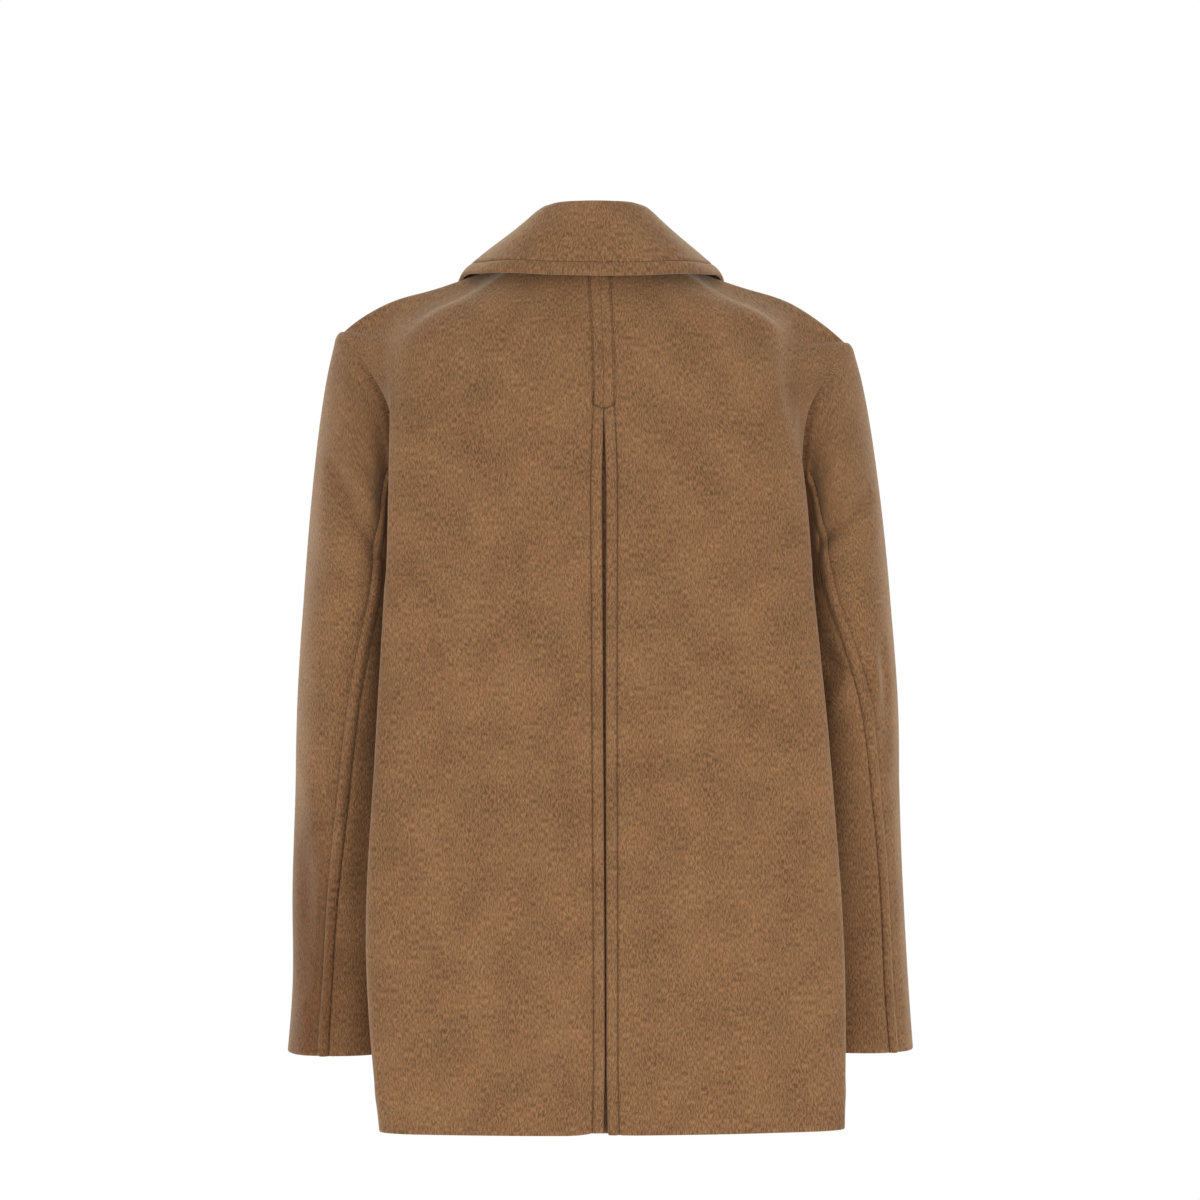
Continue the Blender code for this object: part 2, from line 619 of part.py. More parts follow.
def build_lapel(side, panel):
    """The turn at the roll line, then the cloth lying on the front."""
    name = "lapel_left" if side == LEFT else "lapel_right"
    tree = surface_tree(panel)
    start = sum(SIDE_STEPS)
    roll = panel[start:-1, 0]
    normals = (grid_normals(panel) * side)[start:-1, 0]
    beyond = unit(roll - panel[start:-1, 1])
    steps = np.linalg.norm(np.diff(roll, axis=0), axis=1)
    share = np.concatenate([[0], np.cumsum(steps)]) / steps.sum()
    rows = np.array(LAPEL_ROWS, float)
    edge_x = np.interp(share, rows[:, 0], rows[:, 1]) * side
    edge_z = np.interp(share, rows[:, 0], rows[:, 2])
    columns = []
    for turn in LAPEL_TURN_ANGLES:
        out = LAPEL_TURN * (1 - math.cos(turn)) - CLOTH
        columns.append(roll + beyond * (LAPEL_TURN * math.sin(turn) + 2 * SEAM_EASE) + normals * out)
    lift = 2 * LAPEL_TURN - CLOTH
    for across in LAPEL_ACROSS:
        x = roll[:, 0] + (edge_x - roll[:, 0]) * across
        z = roll[:, 2] + (edge_z - roll[:, 2]) * across
        laid = [laid_on(tree, *spot) for spot in zip(x, z)]
        columns.append(np.array([place + outward * lift for place, outward in laid]))
    face = np.stack(columns, axis=1)
    wall(name, face, CAMEL, face_turn(face[:, -3:], (0, -1, 0)), {"first_column": -normals})


BUTTON_RADIUS = 11.5
BUTTON_COLUMN_X = 58
BUTTON_ROWS_Z = (-352, -452, -552)
BUTTON_SIDES = 16
BUTTON_PROFILE = ((0.62, 2.2), (0.74, 3.6), (0.93, 3.6), (1.0, 2.4), (0.86, 0.5))  # radius share, height
BUTTON_UNDERSIDE = 0.3


def build_button(number, centre, normal):
    """A turned disc with a raised rim, standing just off the cloth."""
    side_axis = unit(np.cross(normal, (0, 0, 1)))
    up_axis = np.cross(side_axis, normal)
    angles = 2 * math.pi * np.arange(BUTTON_SIDES) / BUTTON_SIDES
    ring = BUTTON_RADIUS * (np.cos(angles)[:, None] * side_axis + np.sin(angles)[:, None] * up_axis)
    rings = [centre + ring * share + normal * height for share, height in BUTTON_PROFILE]
    middles = [[centre + normal * BUTTON_PROFILE[0][1]], [centre + normal * BUTTON_UNDERSIDE]]
    points = np.concatenate(rings + middles)
    top, bottom = len(points) - 2, len(points) - 1
    last = (len(rings) - 1) * BUTTON_SIDES
    faces = []
    for i in range(BUTTON_SIDES):
        j = (i + 1) % BUTTON_SIDES
        for a in range(0, last, BUTTON_SIDES):
            b = a + BUTTON_SIDES
            faces.append([a + i, a + j, b + j, b + i])
        faces += [[i, j, top], [last + j, last + i, bottom]]
    solid(f"button_{number}", points, faces, HORN)


def build_buttons(panel):
    tree = surface_tree(panel)
    number = 1
    for z in BUTTON_ROWS_Z:
        for x in (-BUTTON_COLUMN_X, BUTTON_COLUMN_X):
            build_button(number, *laid_on(tree, x, z))
            number += 1


def main():
    for item in list(bpy.data.objects):
        bpy.data.objects.remove(item)
    necklines, panels = {}, {}
    for side in (LEFT, RIGHT):
        back_neck = build_back(side)
        panels[side], front_neck = build_front(side)
        necklines[side] = np.concatenate([back_neck, front_neck[::-1][1:]])
        build_sleeve(side)
        build_lapel(side, panels[side])
    build_underlay()
    build_collar(necklines)
    build_buttons(panels[RIGHT])


main()
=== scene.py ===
# Double-breasted jacket in brushed camel wool: cloth, seams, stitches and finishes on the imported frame.
# Sizes of the cloth are in millimetres until a mesh is made; the studio and the finishes are in metres.
# The wearer's front faces -Y and the wearer's left is +X.

import math

import bpy
import numpy as np
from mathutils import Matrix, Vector
from mathutils.bvhtree import BVHTree


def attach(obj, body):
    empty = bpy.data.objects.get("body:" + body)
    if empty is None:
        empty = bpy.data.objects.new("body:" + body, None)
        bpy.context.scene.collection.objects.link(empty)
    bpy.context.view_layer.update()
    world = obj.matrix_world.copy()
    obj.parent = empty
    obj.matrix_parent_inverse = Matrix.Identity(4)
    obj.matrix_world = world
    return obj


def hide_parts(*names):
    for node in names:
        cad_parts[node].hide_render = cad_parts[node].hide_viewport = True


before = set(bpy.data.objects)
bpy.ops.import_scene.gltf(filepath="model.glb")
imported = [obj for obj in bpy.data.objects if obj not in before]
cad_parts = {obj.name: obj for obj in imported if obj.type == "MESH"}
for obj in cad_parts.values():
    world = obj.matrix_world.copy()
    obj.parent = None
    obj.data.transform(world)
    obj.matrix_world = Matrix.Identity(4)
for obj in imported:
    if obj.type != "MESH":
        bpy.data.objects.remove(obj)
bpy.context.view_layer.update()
print("frame loaded:", len(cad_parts), "nodes")

mm = 0.001
left, right = 1, -1
hands = {left: "left", right: "right"}

cloth = {
    "thickness": 2.0,
    "hemThickness": 3.8,  # the cloth is turned up inside the hem and the cuffs
    "hemDepth": 40.0,
    "hemBlend": 3,  # the second layer ends this far below and above that depth
    "hemMark": (0.5, -722, 9),  # how the turned-up edge shows outside: height, z, width
    "hemRim": 1.6,  # how far the folded edge rounds out
    "seamEase": -0.03,  # below zero, an edge reaches past its seam line and no slit shows
    "seamPlaces": [6, 4, 2.6, 1.5, 0.6, 0],  # distances of the last grid lines from a seam
    "stitchPlaces": (-0.9, -0.45, 0, 0.45, 0.9, 2, 4),  # and of those round a topstitch, from the stitch
    "sharedReach": 8,  # this near a seam, relief turns to the direction that both sides share
    "fineness": 4,  # steps here for each step of the solid
    "lengthFineness": 11,  # and down the long sides
    "rimSteps": 4,
}

# how the filled-out jacket has settled: it leans a little, and its left shoulder sits a little higher
settling = {
    "lean": 0.0092,
    "leanLevelZ": -240,
    "leanReach": 110,
    "shoulderTilt": 4.0,
    "tiltX": (145, 222),
    "tiltZ": (-300, -120),
    "collarLean": 4.0,
    "collarLeanX": (170, 110),
    "collarLeanZ": (-110, 50),
}


def curveThrough(points, counts):
    # cubic pieces through the points, whose slopes weigh the spans on each side by the other's root length
    points = np.asarray(points, float)
    spans = np.sqrt(np.linalg.norm(np.diff(points, axis=0), axis=1)) + 1e-6
    slopes = np.diff(points, axis=0) / spans[:, None]
    before, after = spans[:-1, None], spans[1:, None]
    tangents = np.empty_like(points)
    tangents[1:-1] = (slopes[:-1] * after + slopes[1:] * before) / (before + after)
    tangents[0] = 1.5 * slopes[0] - 0.5 * tangents[1]
    tangents[-1] = 1.5 * slopes[-1] - 0.5 * tangents[-2]
    pieces = [points[:1]]
    for i, count in enumerate(counts):
        t = np.arange(1, count + 1)[:, None] / count
        pieces.append(
            (2 * t**3 - 3 * t**2 + 1) * points[i]
            + (t**3 - 2 * t**2 + t) * spans[i] * tangents[i]
            + (3 * t**2 - 2 * t**3) * points[i + 1]
            + (t**3 - t**2) * spans[i] * tangents[i + 1]
        )
    return np.concatenate(pieces)


def surfaceThrough(net, rowCounts, columnCounts):
    # the same curve along each row of the net, then down each of its columns
    rows = np.array([curveThrough(row, columnCounts) for row in net])
    return np.stack([curveThrough(rows[:, j], rowCounts) for j in range(rows.shape[1])], axis=1)


def finer(counts):
    # this file's steps for the steps of the solid, across the cloth and round the armhole
    return tuple(count * cloth["fineness"] for count in counts)


def longer(counts):
    # and down the side seams
    return tuple(count * cloth["lengthFineness"] for count in counts)


def unit(vectors):
    return vectors / np.maximum(np.linalg.norm(vectors, axis=-1, keepdims=True), 1e-9)


def gridNormals(grid):
    # cross product of the two directions of the grid
    return unit(np.cross(np.gradient(grid, axis=1), np.gradient(grid, axis=0)))


def towards(grid, wanted):
    # +1 where the grid's normals already look the wanted way, or else -1
    return 1 if (gridNormals(grid) @ np.array(wanted, float)).mean() > 0 else -1


def runLength(line):
    # the length of the line up to each of its points
    steps = np.linalg.norm(np.diff(line, axis=0), axis=1)
    return np.concatenate([[0], np.cumsum(steps)])


def spread(length, near, far, step):
    # distances along a row: the near ones from its start, even steps, then the far ones from its end
    count = max(2, int(round((length.max() - near[-1] - far[0]) / step)))
    middle = np.linspace(0, 1, count + 1)[1:-1]
    rows = [np.tile(near, (len(length), 1))]
    rows.append(near[-1] + (length[:, None] - near[-1] - far[0]) * middle)
    rows.append(length[:, None] - np.array(far))
    return np.concatenate(rows, axis=1)


def respaced(grid, near, far, step):
    # the same surface with its columns at chosen distances from the two edges
    # in a row that is too short for them they all shrink by the same share
    lengths = np.array([runLength(row)[-1] for row in grid])
    needed = near[-1] + far[0]
    squeeze = np.minimum(1, lengths / (needed * 1.3))[:, None]
    places = spread(np.maximum(lengths, needed * 1.3), near, far, step) * squeeze
    out = np.empty(places.shape + (3,))
    for i, row in enumerate(grid):
        along = runLength(row)
        places[i] = np.clip(places[i], 0, along[-1])
        out[i] = np.stack([np.interp(places[i], along, row[:, k]) for k in range(3)], axis=1)
    return out, places


def bendEdgeTo(grid, edge):
    # the last column moves onto the edge, and those before it by share^3 of its way
    share = np.linspace(0, 1, grid.shape[1])[None, :, None] ** 3
    return grid + (edge - grid[:, -1])[:, None] * share


def edgePlaces(stitch, inner=(0, 0.8, 2, 4, 6, 8), offsets=cloth["stitchPlaces"]):
    # distances of the first grid lines from a free edge, close together round its topstitch
    return list(inner) + [stitch + offset for offset in offsets]


# where each edge of a grid lies, and the line of points next to it
every = slice(None)
edgeLines = {
    "firstRow": ((0, every), (1, every)),
    "lastRow": ((-1, every), (-2, every)),
    "firstColumn": ((every, 0), (every, 1)),
    "lastColumn": ((every, -1), (every, -2)),
}


def easeEdges(grid, sides):
    # each named edge moves by the ease, towards the line of points next to it
    grid = grid.copy()
    for side, (edge, inner) in edgeLines.items():
        if side in sides:
            grid[edge] += cloth["seamEase"] * unit(grid[inner] - grid[edge])
    return grid


def ramp(value, low, high):
    # 0 below low, 1 above high, and a smooth s between: 3t^2 - 2t^3
    t = np.clip((value - low) / (high - low), 0, 1)
    return t * t * (3 - 2 * t)


def settled(points):
    # sideways: lean * height * (1 - exp(-(x / reach)^2)) + the collar's lean
    # upwards: the tilt, up at the left shoulder and down at the right one
    x, y, z = points.T
    away = np.abs(x)
    lean = settling["lean"] * (z - settling["leanLevelZ"]) * (1 - np.exp(-((x / settling["leanReach"]) ** 2)))
    tilt = settling["shoulderTilt"] * np.sign(x) * ramp(away, *settling["tiltX"])
    tilt = tilt * ramp(z, *settling["tiltZ"])
    collarShift = settling["collarLean"] * ramp(away, *settling["collarLeanX"])
    collarShift = collarShift * ramp(z, *settling["collarLeanZ"])
    return np.stack([x + lean + collarShift, y, z + tilt], axis=1)


def bell(distance, width):
    # exp(-(d / w)^2)
    return np.exp(-((distance / width) ** 2))


def seamGutter(distance, depth=1.1, width=2.6):
    # the cloth dips where it turns into a seam
    return -depth * bell(distance, width)


stitching = {
    "roundness": 0.8,
    "furrowWidth": 0.95,
    "beyond": (0.35, 2.6, 2.0),  # the low swell past the furrow: height, distance from it, width
}


def stitchedEdge(distance, reach, puff=0.9, groove=1.5):
    # puff * sin(pi * share of the reach)^roundness from the edge to its topstitch, a swell past it,
    # and the furrow that the stitch pulls
    height, past, width = stitching["beyond"]
    ridge = puff * np.sin(np.pi * np.clip(distance / reach, 0, 1)) ** stitching["roundness"]
    furrow = groove * bell(distance - reach, stitching["furrowWidth"])
    return ridge + height * bell(distance - reach - past, width) - furrow


creasing = {
    "steps": (6, 6),  # along the line
    "fade": 0.7,
    "endShare": 0.02,  # the two ends are not quite faded out
}


def creaseRelief(points, creases):
    # each crease is a soft trough or ridge along a line of three points, fading at both ends:
    # height * exp(-(distance from the line / width)^2) * sin(pi * share of its length)^fade
    relief = np.zeros(points.shape[:2])
    for ends, width, height in creases:
        line = curveThrough(ends, creasing["steps"])
        distance = np.linalg.norm(points[:, :, None, :] - line[None, None], axis=-1)
        share = distance.argmin(axis=-1) / (len(line) - 1)
        inner = share * (1 - 2 * creasing["endShare"]) + creasing["endShare"]
        fade = np.sin(np.pi * np.clip(inner, 0, 1)) ** creasing["fade"]
        relief += height * bell(distance.min(axis=-1), width) * fade
    return relief


waves = {"count": 5, "slant": (1.0, 1.0, 0.45)}  # mostly upright


def slowWaves(points, size, height, seed):
    # a few sines of different slant added up, so that no hanging panel is perfectly even
    rng = np.random.default_rng(seed)
    relief = np.zeros(points.shape[:2])
    for _ in range(waves["count"]):
        slant = rng.normal(size=3) * waves["slant"]
        phase = rng.uniform(0, 2 * math.pi)
        relief += np.sin(points @ slant * (2 * math.pi / size) + phase)
    return relief * height / waves["count"]


def pointNumbers(rows, columns):
    # the number of each point of a grid, row by row
    return np.arange(rows * columns).reshape(rows, columns)


def gridQuads(index):
    # a face for each cell of an open grid of point numbers
    corners = [index[:-1, :-1], index[:-1, 1:], index[1:, 1:], index[1:, :-1]]
    return np.stack(corners, axis=-1).reshape(-1, 4)


def ringQuads(index):
    # a face for each cell of a grid whose rows close on themselves
    following = np.roll(index, -1, axis=1)
    return np.stack([index[:-1], following[:-1], following[1:], index[1:]], axis=-1).reshape(-1, 4)


def shell(name, face, outward, uv, thickness, edgeNormals=None, bulge=None):
    # an outer face, an inner face one thickness behind it, and a rounded rim:
    # rim = middle + half thickness * cos(a) across + bulge * sin(a) beyond the edge
    normals = gridNormals(face) * outward
    for side, given in (edgeNormals or {}).items():
        normals[edgeLines[side][0]] = given
    thickness = np.broadcast_to(np.asarray(thickness, float), face.shape[:2])
    inner = face - normals * thickness[:, :, None]
    beyond = np.zeros_like(face)
    for side, (edge, inside) in edgeLines.items():
        beyond[edge] += unit(face[edge] - face[inside]) * (bulge or {}).get(side, 0.0)
    rows, columns = face.shape[:2]
    index = pointNumbers(rows, columns)
    around = np.concatenate([index[0, :-1], index[:-1, -1], index[-1, :0:-1], index[:0:-1, 0]])
    outerRim = face.reshape(-1, 3)[around]
    innerRim = inner.reshape(-1, 3)[around]
    push = beyond.reshape(-1, 3)[around]
    steps = cloth["rimSteps"]
    rings = []
    for k in range(1, steps):
        angle = math.pi * k / steps
        middle = (outerRim + innerRim) / 2
        rings.append(middle + (outerRim - innerRim) / 2 * math.cos(angle) + push * math.sin(angle))
    points = np.concatenate([face.reshape(-1, 3), inner.reshape(-1, 3)] + rings)
    count = rows * columns
    chain = [around] + [2 * count + k * len(around) + np.arange(len(around)) for k in range(steps - 1)]
    chain.append(around + count)
    quads = [gridQuads(index)]
    quads.append(quads[0][:, ::-1] + count)
    for first, second in zip(chain[:-1], chain[1:]):
        quads.append(np.stack([np.roll(first, -1), first, second, np.roll(second, -1)], axis=-1))
    quads = np.concatenate(quads)
    if outward < 0:
        quads = quads[:, ::-1]
    flat = uv.reshape(-1, 2)
    allUv = np.concatenate([flat, flat] + [flat[around]] * (steps - 1))
    return meshObject(name, points, quads, allUv)


def meshObject(name, points, quads, uv=None):
    # the settled points in metres, smooth faces, and the cut plan as the piece's UV map
    mesh = bpy.data.meshes.new(name)
    mesh.vertices.add(len(points))
    mesh.vertices.foreach_set("co", (settled(points) * mm).astype(np.float32).ravel())
    size = quads.shape[1]
    mesh.loops.add(quads.size)
    mesh.loops.foreach_set("vertex_index", quads.astype(np.int32).ravel())
    mesh.polygons.add(len(quads))
    mesh.polygons.foreach_set("loop_start", (np.arange(len(quads)) * size).astype(np.int32))
    mesh.polygons.foreach_set("use_smooth", np.ones(len(quads), bool))
    mesh.update(calc_edges=True)
    if uv is not None:
        layer = mesh.uv_layers.new(name="cut")
        layer.data.foreach_set("uv", (uv[quads.ravel()] * mm).astype(np.float32).ravel())
    mesh.validate()
    item = bpy.data.objects.new(name, mesh)
    bpy.context.scene.collection.objects.link(item)
    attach(item, "root")
    return item


planShift = (137, 61)  # each piece takes its nap from another spot


def cutPlan(places, face, seed):
    # the piece's own map in millimetres: distance across the cloth, and length down it
    down = runLength(face[:, face.shape[1] // 2])
    along = np.repeat(down[:, None], face.shape[1], axis=1)
    return np.stack([places + planShift[0] * seed, along + planShift[1] * seed], axis=-1)


shoulderTip = (221, -2, -65)
sideNeck = (77, 0, -2)
hemZ = -752

body = {
    "armhole": (
        shoulderTip,
        (206, 29, -91),
        (184, 44, -130),
        (176, 46, -190),
        (169, 31, -250),
        (166, 0, -282),
        (167, -34, -258),
        (171, -52, -200),
        (182, -50, -135),
        (206, -33, -91),
        shoulderTip,
    ),
    "backArmholeSteps": (3, 3, 3, 3, 2),
    "frontArmholeSteps": (2, 3, 3, 3, 3),
    "sideSeam": ((176, 2, hemZ), (172, 0, -600), (168, 0, -420), (166, 0, -282)),
    "sideSteps": (4, 4, 4),
    "shoulderSeam": (shoulderTip, (202, 0, -50), (174, 0, -34), (132, 0, -21), sideNeck),
    "shoulderSteps": (1, 1, 2, 2),
    "armholeFlare": 0.6,  # how far the armhole's direction turns outwards
    "shoulderFlare": 0.25,  # the shoulder seam's, outwards
    "neckFlare": 0.5,  # and the neckline's, up
}


def mirrored(points, side):
    # the points of one side for the asked side
    return np.asarray(points, float) * (side, 1, 1)


def armholeLoop(side):
    # the closed ring, drawn past its ends on both sides so that it is smooth there too
    ring = body["armhole"]
    closed = ring[-3:-1] + ring + ring[1:3]
    steps = (1, 1) + body["backArmholeSteps"] + body["frontArmholeSteps"] + (1, 1)
    skip = 2 * cloth["fineness"]
    return mirrored(curveThrough(closed, finer(steps))[skip:-skip], side)


def armholeNormals(loop, side):
    # halves the corner between body and sleeve: radial direction in the hole's plane plus the flare outwards
    radial = unit((loop - loop[:-1].mean(axis=0)) * (0, 1, 1))
    return unit(radial + np.array([body["armholeFlare"] * side, 0, 0]))


def sideEdge(side, armholeHalf):
    # a panel's outer edge from the hem up: side seam, half of the armhole, shoulder seam
    seam = mirrored(curveThrough(body["sideSeam"], longer(body["sideSteps"])), side)
    shoulder = mirrored(curveThrough(body["shoulderSeam"], finer(body["shoulderSteps"])), side)
    return np.concatenate([seam[:-1], armholeHalf[:-1], shoulder])


def sideEdgeNormals(side, halfNormals):
    # the shared direction along the same edge: outwards, then the armhole's, then up and a little outwards
    seam = np.tile([side, 0.0, 0.0], (sum(longer(body["sideSteps"])), 1))
    direction = unit(np.array([body["shoulderFlare"] * side, 0.0, 1.0]))
    shoulder = np.tile(direction, (sum(finer(body["shoulderSteps"])), 1))
    return np.concatenate([seam, halfNormals, shoulder])


def neckNormals(row):
    # away from the neck's middle, and half as much up
    return unit(unit(row * (1, 1, 0)) + np.array([0, 0, body["neckFlare"]]))


back = {
    "rows": (  # centre y, centre z, edge x left, edge x right, edge y, edge z
        (130, hemZ, 197, 204, 92, hemZ),
        (127, -600, 207, 205, 90, -600),
        (114, -420, 197, 194, 84, -420),
        (109, -290, 188, 182, 80, -285),
        (108, -262, 186, 181, 78, -262),
        (107, -210, 184, 178, 74, -212),
        (104, -150, 182, 172, 68, -160),
        (98, -92, 179, 163, 58, -112),
        (90, -52, 176, 164, 43, -74),
        (87, -42, 165, 163, 38, -60),
        (82, -28, 146, 146, 34, -46),
        (75, -12, 114, 114, 30, -31),
        (62, 5, 62, 62, 36, 0),
    ),
    "columnShares": (0, 0.36, 0.72, 0.93),  # places of the net's columns between middle and row's edge
    "columnSteps": (3, 3, 1, 1, 2, 2),
    "fullness": 2.3,
    "edgeSoftness": 9,
    "sideTuck": 9,
    "tuckShare": 0.45,  # of the way from the row's edge to the side edge
    "tuckReach": 80,  # on shorter ways the tuck is less
    "pleatTopZ": -133,
    "hemCurl": {left: 3.0, right: 0.6},  # how far the hem rises at the pleat
    "pleatReturn": 40,
    "seamReturn": 12,
    "returnBlend": 24,
    "turnRadius": 2.4,
    "underlayGap": 0.6,
    "underlaySteps": 24,
    "underlayLift": 1.0,  # its hem hangs a little higher
    "underlayRim": 1.0,
    "underlayRise": 3,  # it is sewn in just above the top of the opening
    "seamGap": 0.05,
    "pleatSpread": 2.0,  # half the opening just below the pleat's top, and further down
    "pleatRest": 0.7,
    "pleatSpreadDepth": 60,
    "pleatHold": 1.5,  # the gap starts to close at this many such depths
    "pleatCloseDepth": 180,
    "hemSpread": 1.2,
    "hemSpreadZ": -700,
    "openingReach": 60,  # the panel gives way for the opening this far from the middle
    "topstitch": 9.5,
    "edgePlaces": (0, 1.5, 3, 4.5, 6),
    "seamTurn": 0.5,  # above the pleat the two halves meet nearly flush
    "cutGap": 0.5,  # the cut plan leaves this between the panel and its turned-in cloth
    "seamPress": 0.2,  # and are pressed into each other by the stitching
    "turnDepths": (-2, 16),  # the turned edge grows between these depths below the pleat's top
    "returnShares": (1, 0.7, 0.4),  # columns of the cloth turned in, in shares of its width
    "turnSteps": 8,
    "fineRows": (-137, -114, 0.6),  # close together round the stitching at the pleat's top: from, to, pitch
    "barTack": {  # the curved stitching at the top of the pleat: x and z of its points
        left: ((8.4, -118), (9.3, -128.6), (6.4, -131.0), (3.2, -132.4), (0, -133.0)),
        right: ((-9.5, -128.6), (-6.4, -131.0), (-3.2, -132.4), (0, -133.0)),
    },
    "tackGroove": (1.3, 0.9),  # depth, width
    "tackSpots": 24,  # on each side, before the stitches are laid along them
    "tackMiddle": 1.2,  # spots nearer the middle than this are laid here on the panel
    "tackDraw": (1.3, 0.4),  # and within this x they are drawn to this share of it, over the gap
    "tackLift": 0.35,
    "stitchTopZ": -6,
    "slowWaves": (260, 1.1, 3),  # size, height, seed
    "edgeFade": (-4, 8),  # each fade goes from none to the whole between these distances
    "narrowFade": (-12, -3),
    "creaseFade": (0, 30),
    "waveSideFade": (0, 60),
    "waveEdgeFade": (10, 60),
    "waveTopFade": (-2, 8),
    "markFade": (8, 30),
    "pressFade": (-2, 2),
    "curlWidth": 16,
    "curlDepths": (640, 752),
    "singleEdge": 8,  # the hem is one layer this near the pleat
    "columnStep": 3.2,
    "creases": {  # three points of its line, width, height
        left: (
            (((63, 128, -345), (66, 132, -520), (69, 136, -740)), 11, -1.5),
            (((96, 122, -400), (104, 124, -560), (110, 124, -745)), 22, 1.2),
            (((14, 116, -366), (42, 118, -362), (74, 114, -357)), 5, -1.0),
            (((150, 90, -120), (140, 100, -240), (150, 104, -420)), 26, 1.0),
        ),
        right: (
            (((-84, 124, -430), (-84, 128, -560), (-78, 130, -745)), 12, -1.4),
            (((-112, 116, -420), (-122, 118, -560), (-120, 120, -740)), 22, 1.1),
            (((-12, 116, -362), (-46, 118, -364), (-92, 112, -372)), 5, -1.0),
            (((-150, 88, -130), (-138, 98, -250), (-146, 104, -430)), 26, 1.0),
        ),
    },
}


def backRow(row, outerEdge, side):
    # y = centre + (edge - centre) * share^fullness out to the row's edge, then a tuck before the side edge
    centreY, centreZ, leftX, rightX, edgeY, edgeZ = row
    edgeX = leftX if side == left else rightX
    startX = back["turnRadius"] + back["seamGap"]
    net = []
    for share in back["columnShares"]:
        x = startX + (edgeX - startX) * share
        y = centreY + (edgeY + back["edgeSoftness"] - centreY) * share ** back["fullness"]
        net.append((x * side, y, centreZ + (edgeZ - centreZ) * share))
    corner = np.array((edgeX * side, edgeY, edgeZ), float)
    rest = outerEdge - corner
    tuck = np.array([back["sideTuck"] * side, 0, 0]) * min(1, np.linalg.norm(rest) / back["tuckReach"])
    return np.array(net + [corner, corner + rest * back["tuckShare"] - tuck, outerEdge], float)


def backSurface(side):
    # the surface through the net of rows, and the directions shared along its outer edge
    loop = armholeLoop(side)
    halfCount = sum(finer(body["backArmholeSteps"])) + 1
    half = loop[:halfCount][::-1]
    edge = sideEdge(side, half)
    upper = tuple(reversed(body["backArmholeSteps"])) + body["shoulderSteps"]
    steps = longer(body["sideSteps"]) + finer(upper)
    stops = np.concatenate([[0], np.cumsum(steps)])
    net = [backRow(row, edge[stop], side) for row, stop in zip(back["rows"], stops)]
    grid = surfaceThrough(net, steps, finer(back["columnSteps"]))
    normals = sideEdgeNormals(side, armholeNormals(loop, side)[:halfCount][::-1])
    return bendEdgeTo(grid, edge), normals


def pleatOpening(z):
    # half the gap between the pleat edges: it opens below the pleat's top, closes by exp(-depth)
    # and opens again at the hem
    below = back["pleatTopZ"] - z
    start = np.clip(below / back["pleatSpreadDepth"], 0, 1)
    closing = np.clip(below - back["pleatHold"] * back["pleatSpreadDepth"], 0, None)
    falling = np.exp(-closing / back["pleatCloseDepth"])
    atHem = np.clip((back["hemSpreadZ"] - z) / (back["hemSpreadZ"] - hemZ), 0, 1)
    gap = back["pleatRest"] + (back["pleatSpread"] - back["pleatRest"]) * falling
    return start * gap + back["hemSpread"] * atHem


def edgeTurn(z):
    # how wide the turned edge is: small along the seam, and the whole turn below the pleat's top
    below = ramp(back["pleatTopZ"] - z, *back["turnDepths"])
    return back["seamTurn"] + (back["turnRadius"] - back["seamTurn"]) * below


def returnedCloth(firstColumn, side):
    # the cloth turned in at the centre: x = w(1 - sin a), y = -r(1 - cos a), then flat behind the panel
    z = firstColumn[:, 2]
    radius, turnWidth = back["turnRadius"], edgeTurn(z)
    pressed = back["seamPress"] * ramp(z - back["pleatTopZ"], *back["pressFade"])
    below = np.clip((back["pleatTopZ"] - z) / back["returnBlend"], 0, 1)
    width = back["seamReturn"] + (back["pleatReturn"] - back["seamReturn"]) * below
    across = [width * share for share in back["returnShares"]]
    deep = [np.full_like(width, -2 * radius)] * len(across)
    for turn in np.linspace(math.pi, 0, back["turnSteps"] + 1)[:-1]:
        across.append(turnWidth * (1 - math.sin(turn)) + back["seamGap"] - pressed)
        deep.append(np.full_like(width, -radius * (1 - math.cos(turn))))
    grid = np.repeat(firstColumn[:, None], len(across), axis=1)
    grid[:, :, 0] = (np.stack(across, axis=1) + pleatOpening(z)[:, None]) * side
    grid[:, :, 1] += np.stack(deep, axis=1)
    return grid


def seamDirections(normals, places, edges):
    # relief moves each point in its panel's own direction, and near a seam in the one that both sides share
    directions = normals.copy()
    steps = np.linalg.norm(np.diff(places["face"], axis=0), axis=-1)
    none = np.zeros((1, steps.shape[1]))
    for key, shared in edges.items():
        if key == "lastRow":
            distance = np.concatenate([steps[::-1].cumsum(axis=0)[::-1], none])
        elif key == "firstRow":
            distance = np.concatenate([none, steps.cumsum(axis=0)])
        else:
            distance = places[key]
        sharedGrid = shared[None] if key in ("firstRow", "lastRow") else shared[:, None]
        own = ramp(distance, 0, cloth["sharedReach"])[:, :, None]
        directions = unit(directions * own + sharedGrid * (1 - own))
    return directions


def pathDistance(x, z, path):
    # the shortest distance in the x-z plane to the straight pieces of a path
    nearest = np.full(np.shape(x), np.inf)
    for (ax, az), (bx, bz) in zip(path[:-1], path[1:]):
        reach = (bx - ax) ** 2 + (bz - az) ** 2
        share = np.clip(((x - ax) * (bx - ax) + (z - az) * (bz - az)) / reach, 0, 1)
        nearest = np.minimum(nearest, np.hypot(x - ax - share * (bx - ax), z - az - share * (bz - az)))
    return nearest


def rowsAdded(heights, low, high, pitch):
    # places between the rows, so that the band from low to high gets a row at every pitch
    index = np.arange(len(heights), dtype=float)
    added = np.interp(np.arange(low, high, pitch), heights, index)
    return np.unique(np.round(np.concatenate([index, added]), 4))


